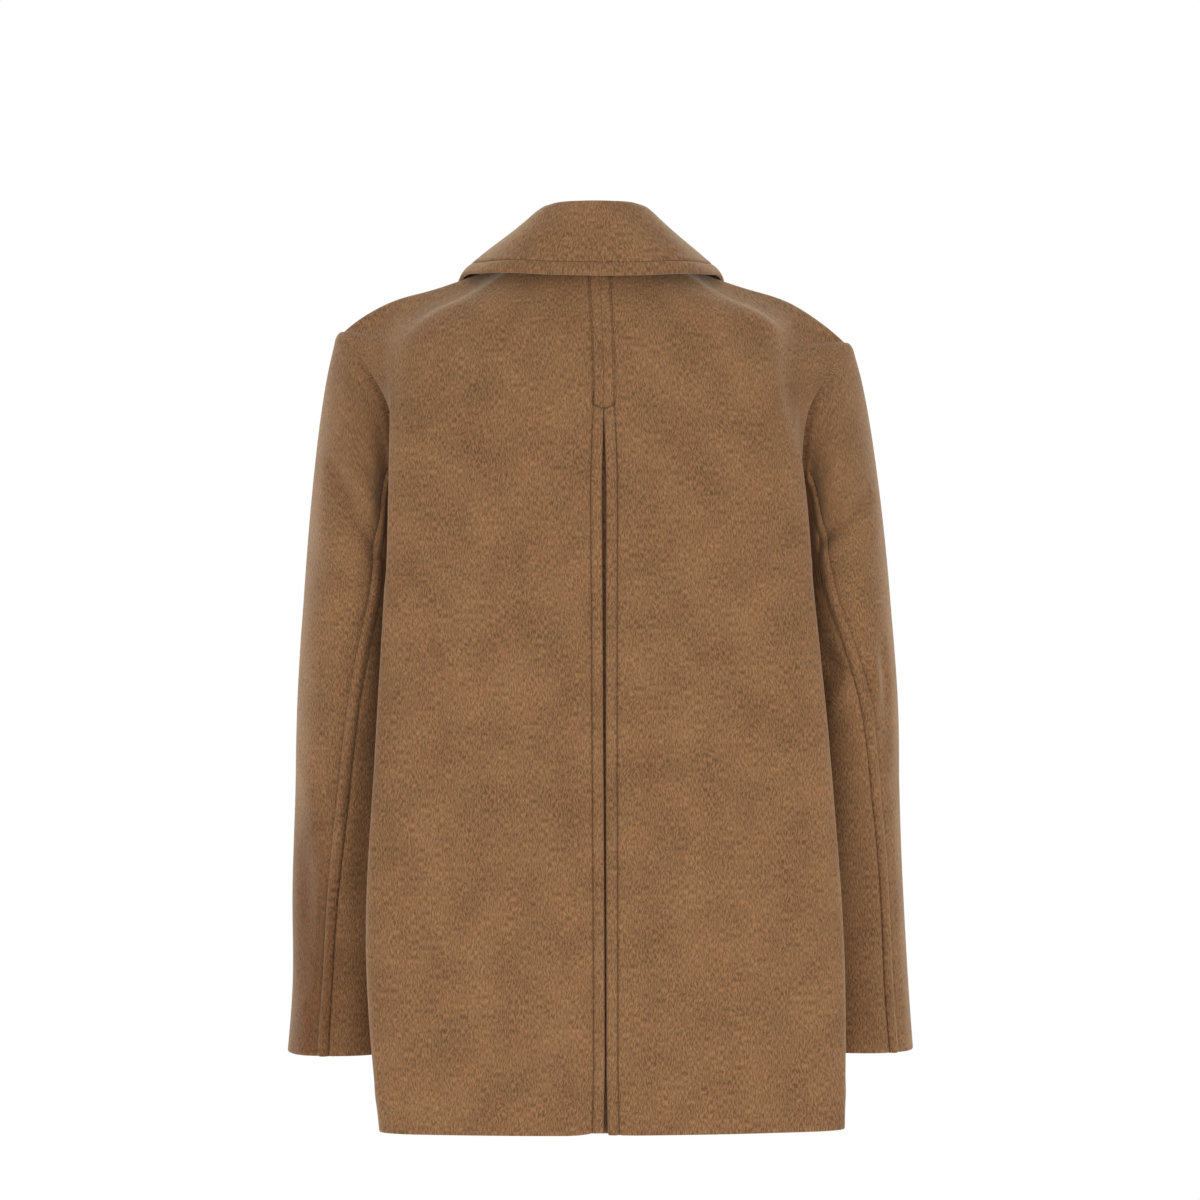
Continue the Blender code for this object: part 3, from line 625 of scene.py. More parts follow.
def atRows(grid, places):
    # the grid's rows at whole and broken places, by straight lines between neighbouring rows
    lower = np.minimum(places.astype(int), len(grid) - 2)
    share = (places - lower).reshape((-1,) + (1,) * (grid.ndim - 1))
    return grid[lower] * (1 - share) + grid[lower + 1] * share


def hemThickening(face):
    # the cloth is double up to the hem's depth above the lowest edge
    above = face[:, :, 2] - face[:, :, 2].min()
    depth, blend = cloth["hemDepth"], cloth["hemBlend"]
    turned = 1 - ramp(above, depth - blend, depth + blend)
    return cloth["thickness"] + (cloth["hemThickness"] - cloth["thickness"]) * turned


def hemMark(grid):
    # the edge of the turned-up hem shows faintly on the outside
    height, z, width = cloth["hemMark"]
    return height * bell(grid[:, :, 2] - z, width)


def buildBack(side):
    # relief moves the panel along its normals:
    # stitched edge - bar tack - side seam's furrow + creases + slow waves + hem mark
    coarse, edgeNormals = backSurface(side)
    rows = rowsAdded(coarse[:, 0, 2], *back["fineRows"])
    coarse, edgeNormals = atRows(coarse, rows), unit(atRows(edgeNormals, rows))
    fade = np.clip(1 - np.abs(coarse[:, :, 0]) / back["openingReach"], 0, 1)
    coarse[:, :, 0] += pleatOpening(coarse[:, 0, 2])[:, None] * fade * side
    narrowing = (back["turnRadius"] - edgeTurn(coarse[:, 0, 2]))[:, None]
    coarse[:, :, 0] -= narrowing * ramp(-np.abs(coarse[:, :, 0]), *back["narrowFade"]) * side
    stitch = back["topstitch"] - back["turnRadius"]
    near = edgePlaces(stitch, back["edgePlaces"])
    grid, places = respaced(coarse, near, cloth["seamPlaces"], back["columnStep"])
    normals = gridNormals(grid) * -side
    depth = -grid[:, :, 2]
    fromEdge = places + edgeTurn(grid[:, 0, 2])[:, None]
    toSide = places[:, -1:] - places
    relief = stitchedEdge(fromEdge, back["topstitch"]) * ramp(depth, *back["edgeFade"])
    tackDepth, tackWidth = back["tackGroove"]
    relief -= tackDepth * bell(pathDistance(grid[:, :, 0], grid[:, :, 2], back["barTack"][side]), tackWidth)
    relief += seamGutter(toSide)
    relief += creaseRelief(grid, back["creases"][side]) * ramp(toSide, *back["creaseFade"])
    size, height, seed = back["slowWaves"]
    swell = slowWaves(grid, size, height, seed + side) * ramp(toSide, *back["waveSideFade"])
    relief += swell * ramp(fromEdge, *back["waveEdgeFade"]) * ramp(depth, *back["waveTopFade"])
    relief += hemMark(grid) * ramp(fromEdge, *back["markFade"])
    neckline = grid[-1]
    curl = back["hemCurl"][side] * bell(fromEdge, back["curlWidth"])
    grid[:, :, 2] += curl * ramp(depth, *back["curlDepths"])
    shares = {"face": grid, "lastColumn": toSide}
    seams = {"lastColumn": edgeNormals, "lastRow": neckNormals(neckline)}
    directions = seamDirections(normals, shares, seams)
    shaped = grid + directions * relief[:, :, None]
    returned = returnedCloth(shaped[:, 0], side)
    face = np.concatenate([returned, shaped], axis=1)
    behind = np.linalg.norm(np.diff(returned, axis=1), axis=-1)[:, ::-1].cumsum(axis=1)[:, ::-1]
    behind = np.concatenate([behind, np.zeros((len(face), 1))], axis=1)
    places = np.concatenate([-behind - back["cutGap"], places], axis=1)
    face = easeEdges(face, ("lastRow", "lastColumn"))
    thickness = hemThickening(face)
    turned = returned.shape[1]
    thickness[:, :turned] = cloth["thickness"]
    thickness[:, turned:] = np.where(fromEdge < back["singleEdge"], cloth["thickness"], thickness[:, turned:])
    item = shell(
        "cloth_back_" + hands[side], face, -side, cutPlan(places, face, 1 + side), thickness,
        {"lastColumn": edgeNormals, "lastRow": neckNormals(face[-1])}, {"firstRow": cloth["hemRim"]},
    )
    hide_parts("back_" + hands[side])
    return {"grid": shaped, "neckline": neckline, "fromEdge": fromEdge, "item": item}


def buildUnderlay():
    # a flat strip behind both returns, from the hem to just above the top of the opening
    coarse, _ = backSurface(left)
    rows = coarse[:, 0]
    rows = rows[rows[:, 2] < back["pleatTopZ"] + back["underlayRise"]]
    across = np.linspace(back["pleatReturn"], -back["pleatReturn"], back["underlaySteps"] + 1)
    face = np.empty((len(rows), len(across), 3))
    face[:, :, 0] = across
    face[:, :, 1] = (rows[:, 1] - 2 * back["turnRadius"] - back["underlayGap"])[:, None]
    face[:, :, 2] = rows[:, 2][:, None] + back["underlayLift"]
    places = np.tile(across, (len(rows), 1))
    item = shell(
        "cloth_pleat_underlay", face, towards(face, (0, 1, 0)), cutPlan(places, face, 5), cloth["thickness"],
        bulge={"firstRow": back["underlayRim"]},
    )
    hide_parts("back_pleat_underlay")
    return item


front = {
    "rows": (  # start x, start z, centre y, knee x, knee y, knee z
        (-85, hemZ, -160, 166, -104, hemZ),
        (-85, -600, -158, 164, -102, -600),
        (-85, -430, -150, 159, -96, -420),
        (-83, -326, -150, 156, -92, -290),
        (-74, -302, -151, 156, -92, -270),
        (-26, -216, -146, 157, -90, -212),
        (15, -146, -131, 158, -83, -152),
        (40, -98, -111, 160, -70, -112),
        (57, -62, -88, 165, -52, -84),
        (61, -53, -80, 150, -50, -72),
        (65, -44, -70, 132, -45, -59),
        (69, -33, -58, 108, -36, -41),
        (72, -22, -44, 76, -22, -10),
    ),
    "columnShares": (0, 0.34, 0.68, 0.9, 1),
    "columnSteps": (3, 3, 2, 1, 2, 1),
    "fullness": 2.0,
    "underDrop": 10,  # the left front lies this far under the right one, where the middle is this deep
    "underDropDepth": 150,
    "sideBulge": (3.0, -5.0),  # sideways and forward, at this share of the way to the side edge
    "bulgeShare": 0.55,
    "bulgeReach": 80,
    "topstitch": 10.0,
    "rollBreak": (325, 340),  # depths between which the roll of the lapel becomes the stitched edge
    "slowWaves": (280, 0.9, 11),  # size, height, seed
    "creaseEdgeFade": (4, 20),
    "creaseSideFade": (0, 25),
    "waveSideFade": (0, 60),
    "waveEdgeFade": (10, 60),
    "markFade": (8, 30),
    "edgeRim": 0.9,
    "stitchTopZ": -340,
    "columnStep": 3.6,
    "creases": {  # three points of its line, width, height
        left: (
            (((120, -118, -330), (126, -122, -500), (130, -128, -740)), 20, -1.6),
            (((150, -70, -240), (138, -100, -290), (118, -122, -330)), 10, -1.4),
            (((95, -130, -420), (98, -138, -580), (96, -142, -750)), 18, 1.2),
        ),
        right: (
            (((-118, -120, -350), (-122, -122, -520), (-130, -128, -745)), 20, -1.7),
            (((-152, -68, -235), (-140, -98, -280), (-116, -122, -315)), 9, -1.5),
            (((-20, -156, -560), (-26, -162, -660), (-34, -163, -755)), 16, 1.0),
            (((40, -152, -600), (46, -158, -680), (50, -160, -755)), 12, -1.0),
        ),
    },
}


def frontRow(row, outerEdge, side):
    # y = centre + (knee - centre) * share^fullness out to the knee, then a bulge on the way to the side edge
    startX, startZ, centreY, kneeX, kneeY, kneeZ = row
    if side == left:
        centreY = centreY + front["underDrop"] * min(1, abs(centreY) / front["underDropDepth"]) ** 3
    originX = max(startX, 0)
    net = []
    for share in front["columnShares"]:
        x = startX + (kneeX - startX) * share
        reach = abs(x - originX) / (kneeX - originX)
        y = centreY + (kneeY - centreY) * reach ** front["fullness"]
        net.append((x * side, y, startZ + (kneeZ - startZ) * share))
    knee = np.array(net[-1])
    rest = outerEdge - knee
    sideways, forward = front["sideBulge"]
    bulge = np.array([sideways * side, forward, 0.0]) * min(1, np.linalg.norm(rest) / front["bulgeReach"])
    return np.array(net + [knee + rest * front["bulgeShare"] + bulge, outerEdge], float)


def frontSurface(side):
    # as the back: the surface through the net of rows, and the directions shared along its outer edge
    loop = armholeLoop(side)
    start = sum(finer(body["backArmholeSteps"]))
    edge = sideEdge(side, loop[start:])
    steps = longer(body["sideSteps"]) + finer(body["frontArmholeSteps"] + body["shoulderSteps"])
    stops = np.concatenate([[0], np.cumsum(steps)])
    net = [frontRow(row, edge[stop], side) for row, stop in zip(front["rows"], stops)]
    grid = surfaceThrough(net, steps, finer(front["columnSteps"]))
    normals = sideEdgeNormals(side, armholeNormals(loop, side)[start:])
    return bendEdgeTo(grid, edge), normals


def buildFront(side):
    # relief as on the back, with the stitched edge below the roll of the lapel
    coarse, edgeNormals = frontSurface(side)
    stitch = front["topstitch"]
    grid, places = respaced(coarse, edgePlaces(stitch), cloth["seamPlaces"], front["columnStep"])
    normals = gridNormals(grid) * side
    toSide = places[:, -1:] - places
    belowBreak = ramp(-grid[:, :, 2], *front["rollBreak"])
    relief = stitchedEdge(places, stitch) * belowBreak
    relief += seamGutter(toSide)
    folds = creaseRelief(grid, front["creases"][side]) * ramp(places, *front["creaseEdgeFade"])
    relief += folds * ramp(toSide, *front["creaseSideFade"])
    size, height, seed = front["slowWaves"]
    swell = slowWaves(grid, size, height, seed + side) * ramp(toSide, *front["waveSideFade"])
    relief += swell * ramp(places, *front["waveEdgeFade"])
    relief += hemMark(grid) * ramp(places, *front["markFade"])
    shares = {"face": grid, "lastColumn": toSide}
    seams = {"lastColumn": edgeNormals, "lastRow": neckNormals(grid[-1])}
    directions = seamDirections(normals, shares, seams)
    shaped = grid + directions * relief[:, :, None]
    face = easeEdges(shaped, ("firstColumn", "lastRow", "lastColumn"))
    item = shell(
        "cloth_front_" + hands[side], face, side, cutPlan(places, face, 7 + side), hemThickening(face),
        {"lastColumn": edgeNormals, "lastRow": neckNormals(face[-1])},
        {"firstRow": cloth["hemRim"], "firstColumn": front["edgeRim"]},
    )
    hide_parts("front_" + hands[side])
    return {"grid": shaped, "base": grid, "neckline": grid[-1], "places": places, "item": item}


sleeve = {
    "rows": (  # z, outer x left, outer x right, inner x, centre y, half depth, seam x left, seam x right
        (-300, 258, 258, 173, -2, 70, 193, 197),
        (-385, 265, 264, 176, -5, 66, 210, 224),
        (-475, 267, 266, 178, -10, 62, 221, 236),
        (-560, 271, 270, 181, -18, 58, 231, 244),
        (-640, 272, 274, 184, -24, 54, 237, 248),
        (-694, 276, 278, 187, -28, 52, 240, 252),
    ),
    "steps": (3, 3, 3, 2, 1),
    "capSteps": 7,
    "rowFineness": 9,
    "backSeamStep": 9,
    "armpitStep": 14,
    "frontSeamStep": 19,
    "aroundSteps": 28,
    "frontSeamAngle": 238,
    "squareness": 0.9,
    "capLeave": (1, -0.2, 0.12),  # how the cap leaves the armhole: outwards, up, away from the hole's middle
    "capStart": (0.4, 17),  # length of that handle: share of the way, and at most
    "capArrive": 0.38,
    "welt": 10.5,  # width of the lapped strip along the back seam
    "weltOffsets": (-0.8, -0.4, 0, 0.4, 0.8, 1.6, 3),
    "weltRidge": (2.1, 0.7),  # height, roundness
    "weltFurrow": (1.2, 0.4, 1.4),  # depth, distance past the strip, width
    "weltHollow": (0.9, 5, 5),  # the soft shadow beside the furrow
    "underSeam": (1.0, 2.0),
    "capRidge": (0.9, 9, 6),  # the seam allowance under the cap: height, distance from the hole, width
    "reliefFade": (4, 30),  # distances from the armhole
    "weltFade": (2, 14),
    "seamFade": (0, 10),
    "ridgeFade": (0, 5),
    "stitchRows": slice(6, -1),
    "slowWaves": (150, 0.9, 21),
    "columnStep": 3.4,
    "creases": {  # three points of its line, width, height
        left: (
            (((240, 44, -176), (214, 59, -223), (192, 58, -268)), 9, -10.0),
            (((254, 34, -206), (234, 52, -247), (214, 60, -292)), 13, 1.8),
            (((220, 50, -172), (203, 60, -206), (190, 60, -238)), 7, 2.4),
            (((266, 20, -360), (246, 48, -384), (214, 60, -396)), 16, -2.0),
            (((268, 10, -430), (250, 42, -462), (222, 54, -480)), 18, 2.4),
            (((262, 26, -500), (258, 20, -575), (256, 14, -660)), 22, -8.0),
            (((206, 52, -430), (206, 46, -540), (212, 40, -650)), 13, -3.2),
            (((268, -30, -330), (262, -56, -380), (236, -70, -410)), 14, -2.2),
            (((250, -66, -440), (232, -74, -470), (206, -70, -490)), 12, -1.8),
        ),
        right: (
            (((-242, 42, -198), (-212, 61, -226), (-184, 60, -254)), 8, -8.5),
            (((-252, 36, -220), (-228, 56, -248), (-202, 62, -278)), 11, 2.4),
            (((-184, 50, -336), (-199, 56, -350), (-213, 58, -360)), 10, -5.0),
            (((-246, 54, -330), (-253, 52, -378), (-251, 48, -440)), 7, -4.4),
            (((-192, 54, -400), (-208, 58, -380), (-224, 59, -364)), 9, 3.0),
            (((-226, 60, -328), (-239, 59, -368), (-234, 57, -406)), 6.5, 4.2),
            (((-268, 10, -440), (-254, 36, -468), (-236, 50, -486)), 14, -1.2),
            (((-266, -30, -350), (-258, -58, -392), (-232, -70, -420)), 14, -2.2),
            (((-250, -66, -460), (-230, -74, -486), (-206, -70, -500)), 12, -1.6),
        ),
    },
}


def sleeveRing(row, side):
    # a slightly squared ellipse whose points are shared out so that both seams fall on fixed steps
    z, leftX, rightX, innerX, centreY, halfDepth, leftSeam, rightSeam = row
    outerX = leftX if side == left else rightX
    seamX = leftSeam if side == left else rightSeam
    middle, halfWidth = (outerX + innerX) / 2, (outerX - innerX) / 2
    reach = (abs(seamX - middle) / halfWidth) ** (1 / sleeve["squareness"]) * np.sign(seamX - middle)
    seamAngle = math.degrees(math.acos(reach))
    total = sleeve["aroundSteps"] * cloth["fineness"]
    stops = [sleeve[key] * cloth["fineness"] for key in ("backSeamStep", "armpitStep", "frontSeamStep")]
    turns = (0, seamAngle, 180, sleeve["frontSeamAngle"], 360)
    angles = np.interp(np.arange(total), [0] + stops + [total], turns)
    across, deep = np.cos(np.radians(angles)), np.sin(np.radians(angles))
    x = middle + halfWidth * np.sign(across) * np.abs(across) ** sleeve["squareness"]
    y = centreY + halfDepth * np.sign(deep) * np.abs(deep) ** sleeve["squareness"]
    return np.stack([x * side, y, np.full_like(x, z)], axis=1)


def sleeveSurface(side):
    # the cap is a cubic Bezier from the armhole out and down to the first ring
    # below it each column is a curve through the rings
    loop = armholeLoop(side)[:-1]
    rings = [sleeveRing(row, side) for row in sleeve["rows"]]
    radial = unit((loop - loop.mean(axis=0)) * (0, 1, 1))
    outwards, up, away = sleeve["capLeave"]
    leave = unit(np.array([outwards * side, 0, up]) + away * radial)
    arrive = unit(rings[0] - rings[1])
    length = np.linalg.norm(rings[0] - loop, axis=1)[:, None]
    startShare, startMost = sleeve["capStart"]
    first = loop + leave * np.minimum(startShare * length, startMost)
    second = rings[0] + arrive * sleeve["capArrive"] * length
    steps = sleeve["capSteps"] * sleeve["rowFineness"]
    t = (np.arange(steps + 1) / steps)[:, None, None]
    cap = (1 - t) ** 3 * loop + 3 * t * (1 - t) ** 2 * first
    cap = cap + 3 * t**2 * (1 - t) * second + t**3 * rings[0]
    counts = [count * sleeve["rowFineness"] for count in sleeve["steps"]]
    columns = [curveThrough([ring[i] for ring in rings], counts) for i in range(len(loop))]
    return np.concatenate([cap, np.stack(columns, axis=1)[1:]])


def weltRelief(toEnd):
    # height * sin(pi * share of the strip)^roundness - the furrow of its topstitch - a soft hollow beside it
    welt = sleeve["welt"]
    height, roundness = sleeve["weltRidge"]
    furrow, past, width = sleeve["weltFurrow"]
    hollow, beside, hollowWidth = sleeve["weltHollow"]
    ridge = height * np.sin(np.pi * np.clip(toEnd / welt, 0, 1)) ** roundness
    ridge = ridge - furrow * bell(toEnd - welt - past, width)
    return ridge - hollow * bell(toEnd - welt - beside, hollowWidth)


def buildSleeve(side):
    # top and under sleeve are cut from one tube
    # relief adds creases, slow waves, seam furrows, the lapped strip and the cap seam
    tube = sleeveSurface(side)
    holeNormals = armholeNormals(armholeLoop(side), side)[:-1]
    around = np.roll(tube, -1, axis=1) - np.roll(tube, 1, axis=1)
    tubeNormals = unit(np.cross(around, np.gradient(tube, axis=0))) * -side
    backSeam, frontSeam = (sleeve[key] * cloth["fineness"] for key in ("backSeamStep", "frontSeamStep"))
    parts = {
        "top": np.concatenate([np.arange(frontSeam, tube.shape[1]), np.arange(backSeam + 1)]),
        "under": np.arange(backSeam, frontSeam + 1),
    }
    plain = cloth["seamPlaces"]
    made = {}
    for kind, part in parts.items():
        far = edgePlaces(sleeve["welt"], offsets=sleeve["weltOffsets"])[::-1] if kind == "top" else plain
        grid, places = respaced(tube[:, part], plain[::-1], far, sleeve["columnStep"])
        normals = gridNormals(grid) * -side
        toEnd = places[:, -1:] - places
        fromHole = runLength(grid[:, grid.shape[1] // 2])[:, None]
        size, height, seed = sleeve["slowWaves"]
        relief = creaseRelief(grid, sleeve["creases"][side])
        relief += slowWaves(grid, size, height, seed + side)
        relief *= ramp(fromHole, *sleeve["reliefFade"])
        if kind == "top":
            relief += seamGutter(places)
            relief += weltRelief(toEnd) * ramp(fromHole, *sleeve["weltFade"])
        else:
            relief += seamGutter(places, *sleeve["underSeam"]) + seamGutter(toEnd)
        relief *= ramp(fromHole, *sleeve["seamFade"])
        height, distance, width = sleeve["capRidge"]
        ridge = height * bell(fromHole - distance, width) * ramp(fromHole, *sleeve["ridgeFade"])
        relief += seamGutter(fromHole) + ridge
        holeRun = runLength(tube[0, part])
        firstRow = [np.interp(places[0], holeRun, holeNormals[part, k]) for k in range(3)]
        seams = {
            "firstColumn": tubeNormals[:, part[0]],
            "lastColumn": tubeNormals[:, part[-1]],
            "firstRow": unit(np.stack(firstRow, axis=1)),
        }
        shares = {"face": grid, "firstColumn": places, "lastColumn": toEnd}
        shaped = grid + seamDirections(normals, shares, seams) * relief[:, :, None]
        face = easeEdges(shaped, ("firstRow", "firstColumn", "lastColumn"))
        place = "sleeve_%s_%s" % (kind, hands[side])
        plan = cutPlan(places, face, 12 + side + len(kind))
        rim = {"lastRow": cloth["hemRim"]}
        item = shell("cloth_" + place, face, -side, plan, hemThickening(face), seams, rim)
        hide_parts(place)
        made[kind] = {"grid": shaped, "toEnd": toEnd, "item": item}
    return made


collar = {
    "rows": (  # share of the way round, roll x, y, z, edge x, y, z
        (0.0, 0, 66, 48.5, 0, 95, -17),
        (0.16, 22, 63, 48.3, 38, 90, -16),
        (0.36, 42, 50, 45.5, 74, 71, -13),
        (0.55, 56, 24, 36, 101, 38, -11),
        (0.72, 68, -6, 21, 115, -4, -11),
        (0.86, 73, -31, 2, 121, -46, -33),
        (1.0, 71, -47, -16, 121, -74, -58),
    ),
    "rollRadius": 4.2,
    "standPoint": (0.5, 0.8),  # between foot and stand: share of the way, and outwards
    "beforeRoll": (0.6, 0.25),  # inwards and down, in radii
    "pastRoll": (0.7, 0.45),  # outwards and down, in radii
    "fallShares": ((0.3, 2.5), (0.55, 3.0), (0.8, 2.0), (1.0, 0.0)),  # share of the fall, how far it swells
    "sectionSteps": (4, 4, 3, 3, 3, 5, 4, 4, 4),
    "rowSteps": 8,
    "leastStep": 0.3,  # sections closer together than this, at this column, are left out
    "stepColumn": 20,
    "standPlaces": [0, 2, 5],
    "outerColumns": 20,
    "stitchFade": (20, 50),
    "waveFade": (40, 60),
    "edgeThickness": 4.2,
    "thickening": (70, 95),  # across the cloth
    "topstitch": 10.5,
    "stitchRelief": (0.8, 0.8),  # puff, groove
    "slowWaves": (120, 0.7, 31),
    "columnStep": 3.0,
    "rims": {"lastColumn": 1.9, "firstRow": 1.5, "lastRow": 1.5},
}


def collarHalf(neckline, side):
    # each section is a curve through the foot, the stand, the roll and four points of the fall:
    # over + (edge - over) * share + swell outwards
    line = neckline * (side, 1, 1)
    share = runLength(line) / runLength(line)[-1]
    fine = curveThrough(collar["rows"], [collar["rowSteps"]] * (len(collar["rows"]) - 1))
    points = np.stack([np.interp(share, fine[:, 0], fine[:, k]) for k in range(1, 7)], axis=1)
    roll, edge = mirrored(points[:, :3], side), mirrored(points[:, 3:], side)
    normals = neckNormals(neckline)
    up = np.array([0, 0, 1.0])
    foot = neckline - cloth["thickness"] * normals + 3 * cloth["seamEase"] * up
    away = unit((edge - roll) * (1, 1, 0))
    fall = unit(edge - roll)
    radius = collar["rollRadius"]
    inward = roll - away * radius - up * radius
    pastOut, pastDown = collar["pastRoll"]
    beforeIn, beforeDown = collar["beforeRoll"]
    standShare, standOut = collar["standPoint"]
    over = roll + away * radius * pastOut - up * radius * pastDown
    belly = unit(np.cross(np.cross(fall, up), fall))
    belly = belly * np.sign(belly[:, 2:])
    columns = [foot, foot + (inward - foot) * standShare + away * standOut, inward]
    columns += [roll - away * radius * beforeIn - up * radius * beforeDown, roll, over]
    for part, swell in collar["fallShares"]:
        columns.append(over + (edge - over) * part + belly * swell)
    net = np.stack(columns, axis=1)
    return np.array([curveThrough(section, collar["sectionSteps"]) for section in net])


def buildCollar(necklines):
    # both halves in one cloth, thicker along its outer edge where it is turned in
    halves = [collarHalf(necklines[left], left)[::-1], collarHalf(necklines[right], right)]
    coarse = np.concatenate(halves)
    keep = np.concatenate([[True], np.diff(runLength(coarse[:, collar["stepColumn"]])) > collar["leastStep"]])
    coarse = coarse[keep]
    stitch = collar["topstitch"]
    grid, places = respaced(coarse, collar["standPlaces"], edgePlaces(stitch)[::-1], collar["columnStep"])
    turn = towards(grid[:, -collar["outerColumns"]:], (0, 1, 1))
    normals = gridNormals(grid) * turn
    toEdge = places[:, -1:] - places
    relief = stitchedEdge(toEdge, stitch, *collar["stitchRelief"]) * ramp(places, *collar["stitchFade"])
    relief += slowWaves(grid, *collar["slowWaves"]) * ramp(places, *collar["waveFade"])
    shaped = grid + normals * relief[:, :, None]
    added = (collar["edgeThickness"] - cloth["thickness"]) * ramp(places, *collar["thickening"])
    necks = np.concatenate([neckNormals(necklines[left])[::-1], neckNormals(necklines[right])])[keep]
    item = shell(
        "cloth_collar", shaped, turn, cutPlan(places, shaped, 17)[:, :, ::-1], cloth["thickness"] + added,
        {"firstColumn": -necks}, collar["rims"],
    )
    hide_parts("collar")
    return {"grid": shaped, "toEdge": toEdge, "turn": turn, "item": item}


lapel = {
    "rows": (  # share of the roll line, edge x, edge z
        (0.0, -71, -322),
        (0.2, -34, -262),
        (0.42, 26, -206),
        (0.62, 78, -160),
        (0.8, 122, -122),
        (0.9, 139, -94),
        (0.95, 118, -82),
        (1.0, 100, -66),
    ),
    "turn": 2.9,  # radius of the roll
    "turnSteps": 7,
    "beyondColumn": 3,  # the roll turns away from this column of the front
    "acrossStart": 0.05,
    "acrossSteps": 21,
    "smoothing": 3,
    "rollPlaces": [0, 1.2, 2.4, 3.6, 4.8, 6, 7.2, 8.4, 10],
    "columnStep": 3.4,
    "topstitch": 10.0,
    "stitchRelief": (0.5, 0.6),  # puff, groove
    "stitchFade": (8, 20),
    "widthFade": (24, 40),
    "outerColumns": 20,
    "rollSwell": (1.6, 16, 12),  # the spring of the roll: height, distance from it, width
    "rims": {"lastColumn": 0.9, "firstRow": 0.5, "lastRow": 0.5},
}


laying = {"castFrom": 400, "nearestTo": 60}


def surfaceTree(grid):
    # the panel as a tree of faces, so that others can be laid on it
    quads = gridQuads(pointNumbers(*grid.shape[:2]))
    return BVHTree.FromPolygons([Vector(p) for p in grid.reshape(-1, 3)], quads.tolist())


def laidOn(tree, x, z, lift, facing=-1):
    # the point of the panel straight behind (x, z), seen from the front or the back, and its normal
    # the point is lifted along that normal
    hit, normal, _, _ = tree.ray_cast(Vector((x, laying["castFrom"] * facing, z)), Vector((0, -facing, 0)))
    if hit is None:
        hit, normal, _, _ = tree.find_nearest(Vector((x, laying["nearestTo"] * facing, z)))
    normal = normal if normal.y * facing > 0 else -normal
    return np.array(hit + normal * lift), np.array(normal)


def buildLapel(side, panel):
    # a half turn round the roll line, then straight across to the outer edge, laid on the front
    base = panel["base"]
    tree = surfaceTree(base)
    start = sum(longer(body["sideSteps"]))
    stop = -cloth["fineness"]
    roll = base[start:stop, 0]
    normals = (gridNormals(base) * side)[start:stop, 0]
    beyond = unit(roll - base[start:stop, lapel["beyondColumn"]])
    share = runLength(roll) / runLength(roll)[-1]
    rows = np.array(lapel["rows"], float)
    edgeX = np.interp(share, rows[:, 0], rows[:, 1]) * side
    edgeZ = np.interp(share, rows[:, 0], rows[:, 2])
    thick, turn = cloth["thickness"], lapel["turn"]
    columns = []
    for angle in np.linspace(0, math.pi, lapel["turnSteps"] + 1):
        out = turn * (1 - math.cos(angle)) - thick
        columns.append(roll + beyond * (turn * math.sin(angle) + 2 * cloth["seamEase"]) + normals * out)
    for across in np.linspace(lapel["acrossStart"], 1, lapel["acrossSteps"] + 1):
        x = roll[:, 0] + (edgeX - roll[:, 0]) * across
        z = roll[:, 2] + (edgeZ - roll[:, 2]) * across
        columns.append(np.array([laidOn(tree, px, pz, 2 * turn - thick)[0] for px, pz in zip(x, z)]))
    coarse = np.stack(columns, axis=1)
    laid = lapel["turnSteps"] + 1
    coarse[:, laid:] = smoothed(coarse[:, laid:], lapel["smoothing"])
    stitch = lapel["topstitch"]
    grid, places = respaced(coarse, lapel["rollPlaces"], edgePlaces(stitch)[::-1], lapel["columnStep"])
    turnWay = towards(grid[:, -lapel["outerColumns"]:], (0, -1, 0))
    gridOut = gridNormals(grid) * turnWay
    toEdge = places[:, -1:] - places
    wide = ramp(places[:, -1:], *lapel["widthFade"])
    relief = stitchedEdge(toEdge, stitch, *lapel["stitchRelief"]) * wide * ramp(places, *lapel["stitchFade"])
    height, distance, width = lapel["rollSwell"]
    relief += height * bell(places - distance, width) * wide
    shaped = grid + gridOut * relief[:, :, None]
    name = "lapel_" + hands[side]
    item = shell(
        "cloth_" + name, shaped, turnWay, cutPlan(places, shaped, 19 + side), thick,
        {"firstColumn": -normals}, lapel["rims"],
    )
    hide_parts(name)
    return item


def smoothed(grid, times):
    # each point takes half of its own place and a quarter of those in the rows before and after it
    grid = grid.copy()
    for _ in range(times):
        grid[1:-1] = 0.5 * grid[1:-1] + 0.25 * (grid[:-2] + grid[2:])
    return grid


thread = {
    "pitch": 3.6,
    "length": 3.2,
    "radius": 0.36,
    "tip": 0.35,  # width of a stitch at its ends, as a share of the radius
    "arch": 0.35,  # how far its middle stands above its ends
    "sink": 0.12,  # and how far the whole lies below the cloth
    "sides": 5,
    "along": 4,
}


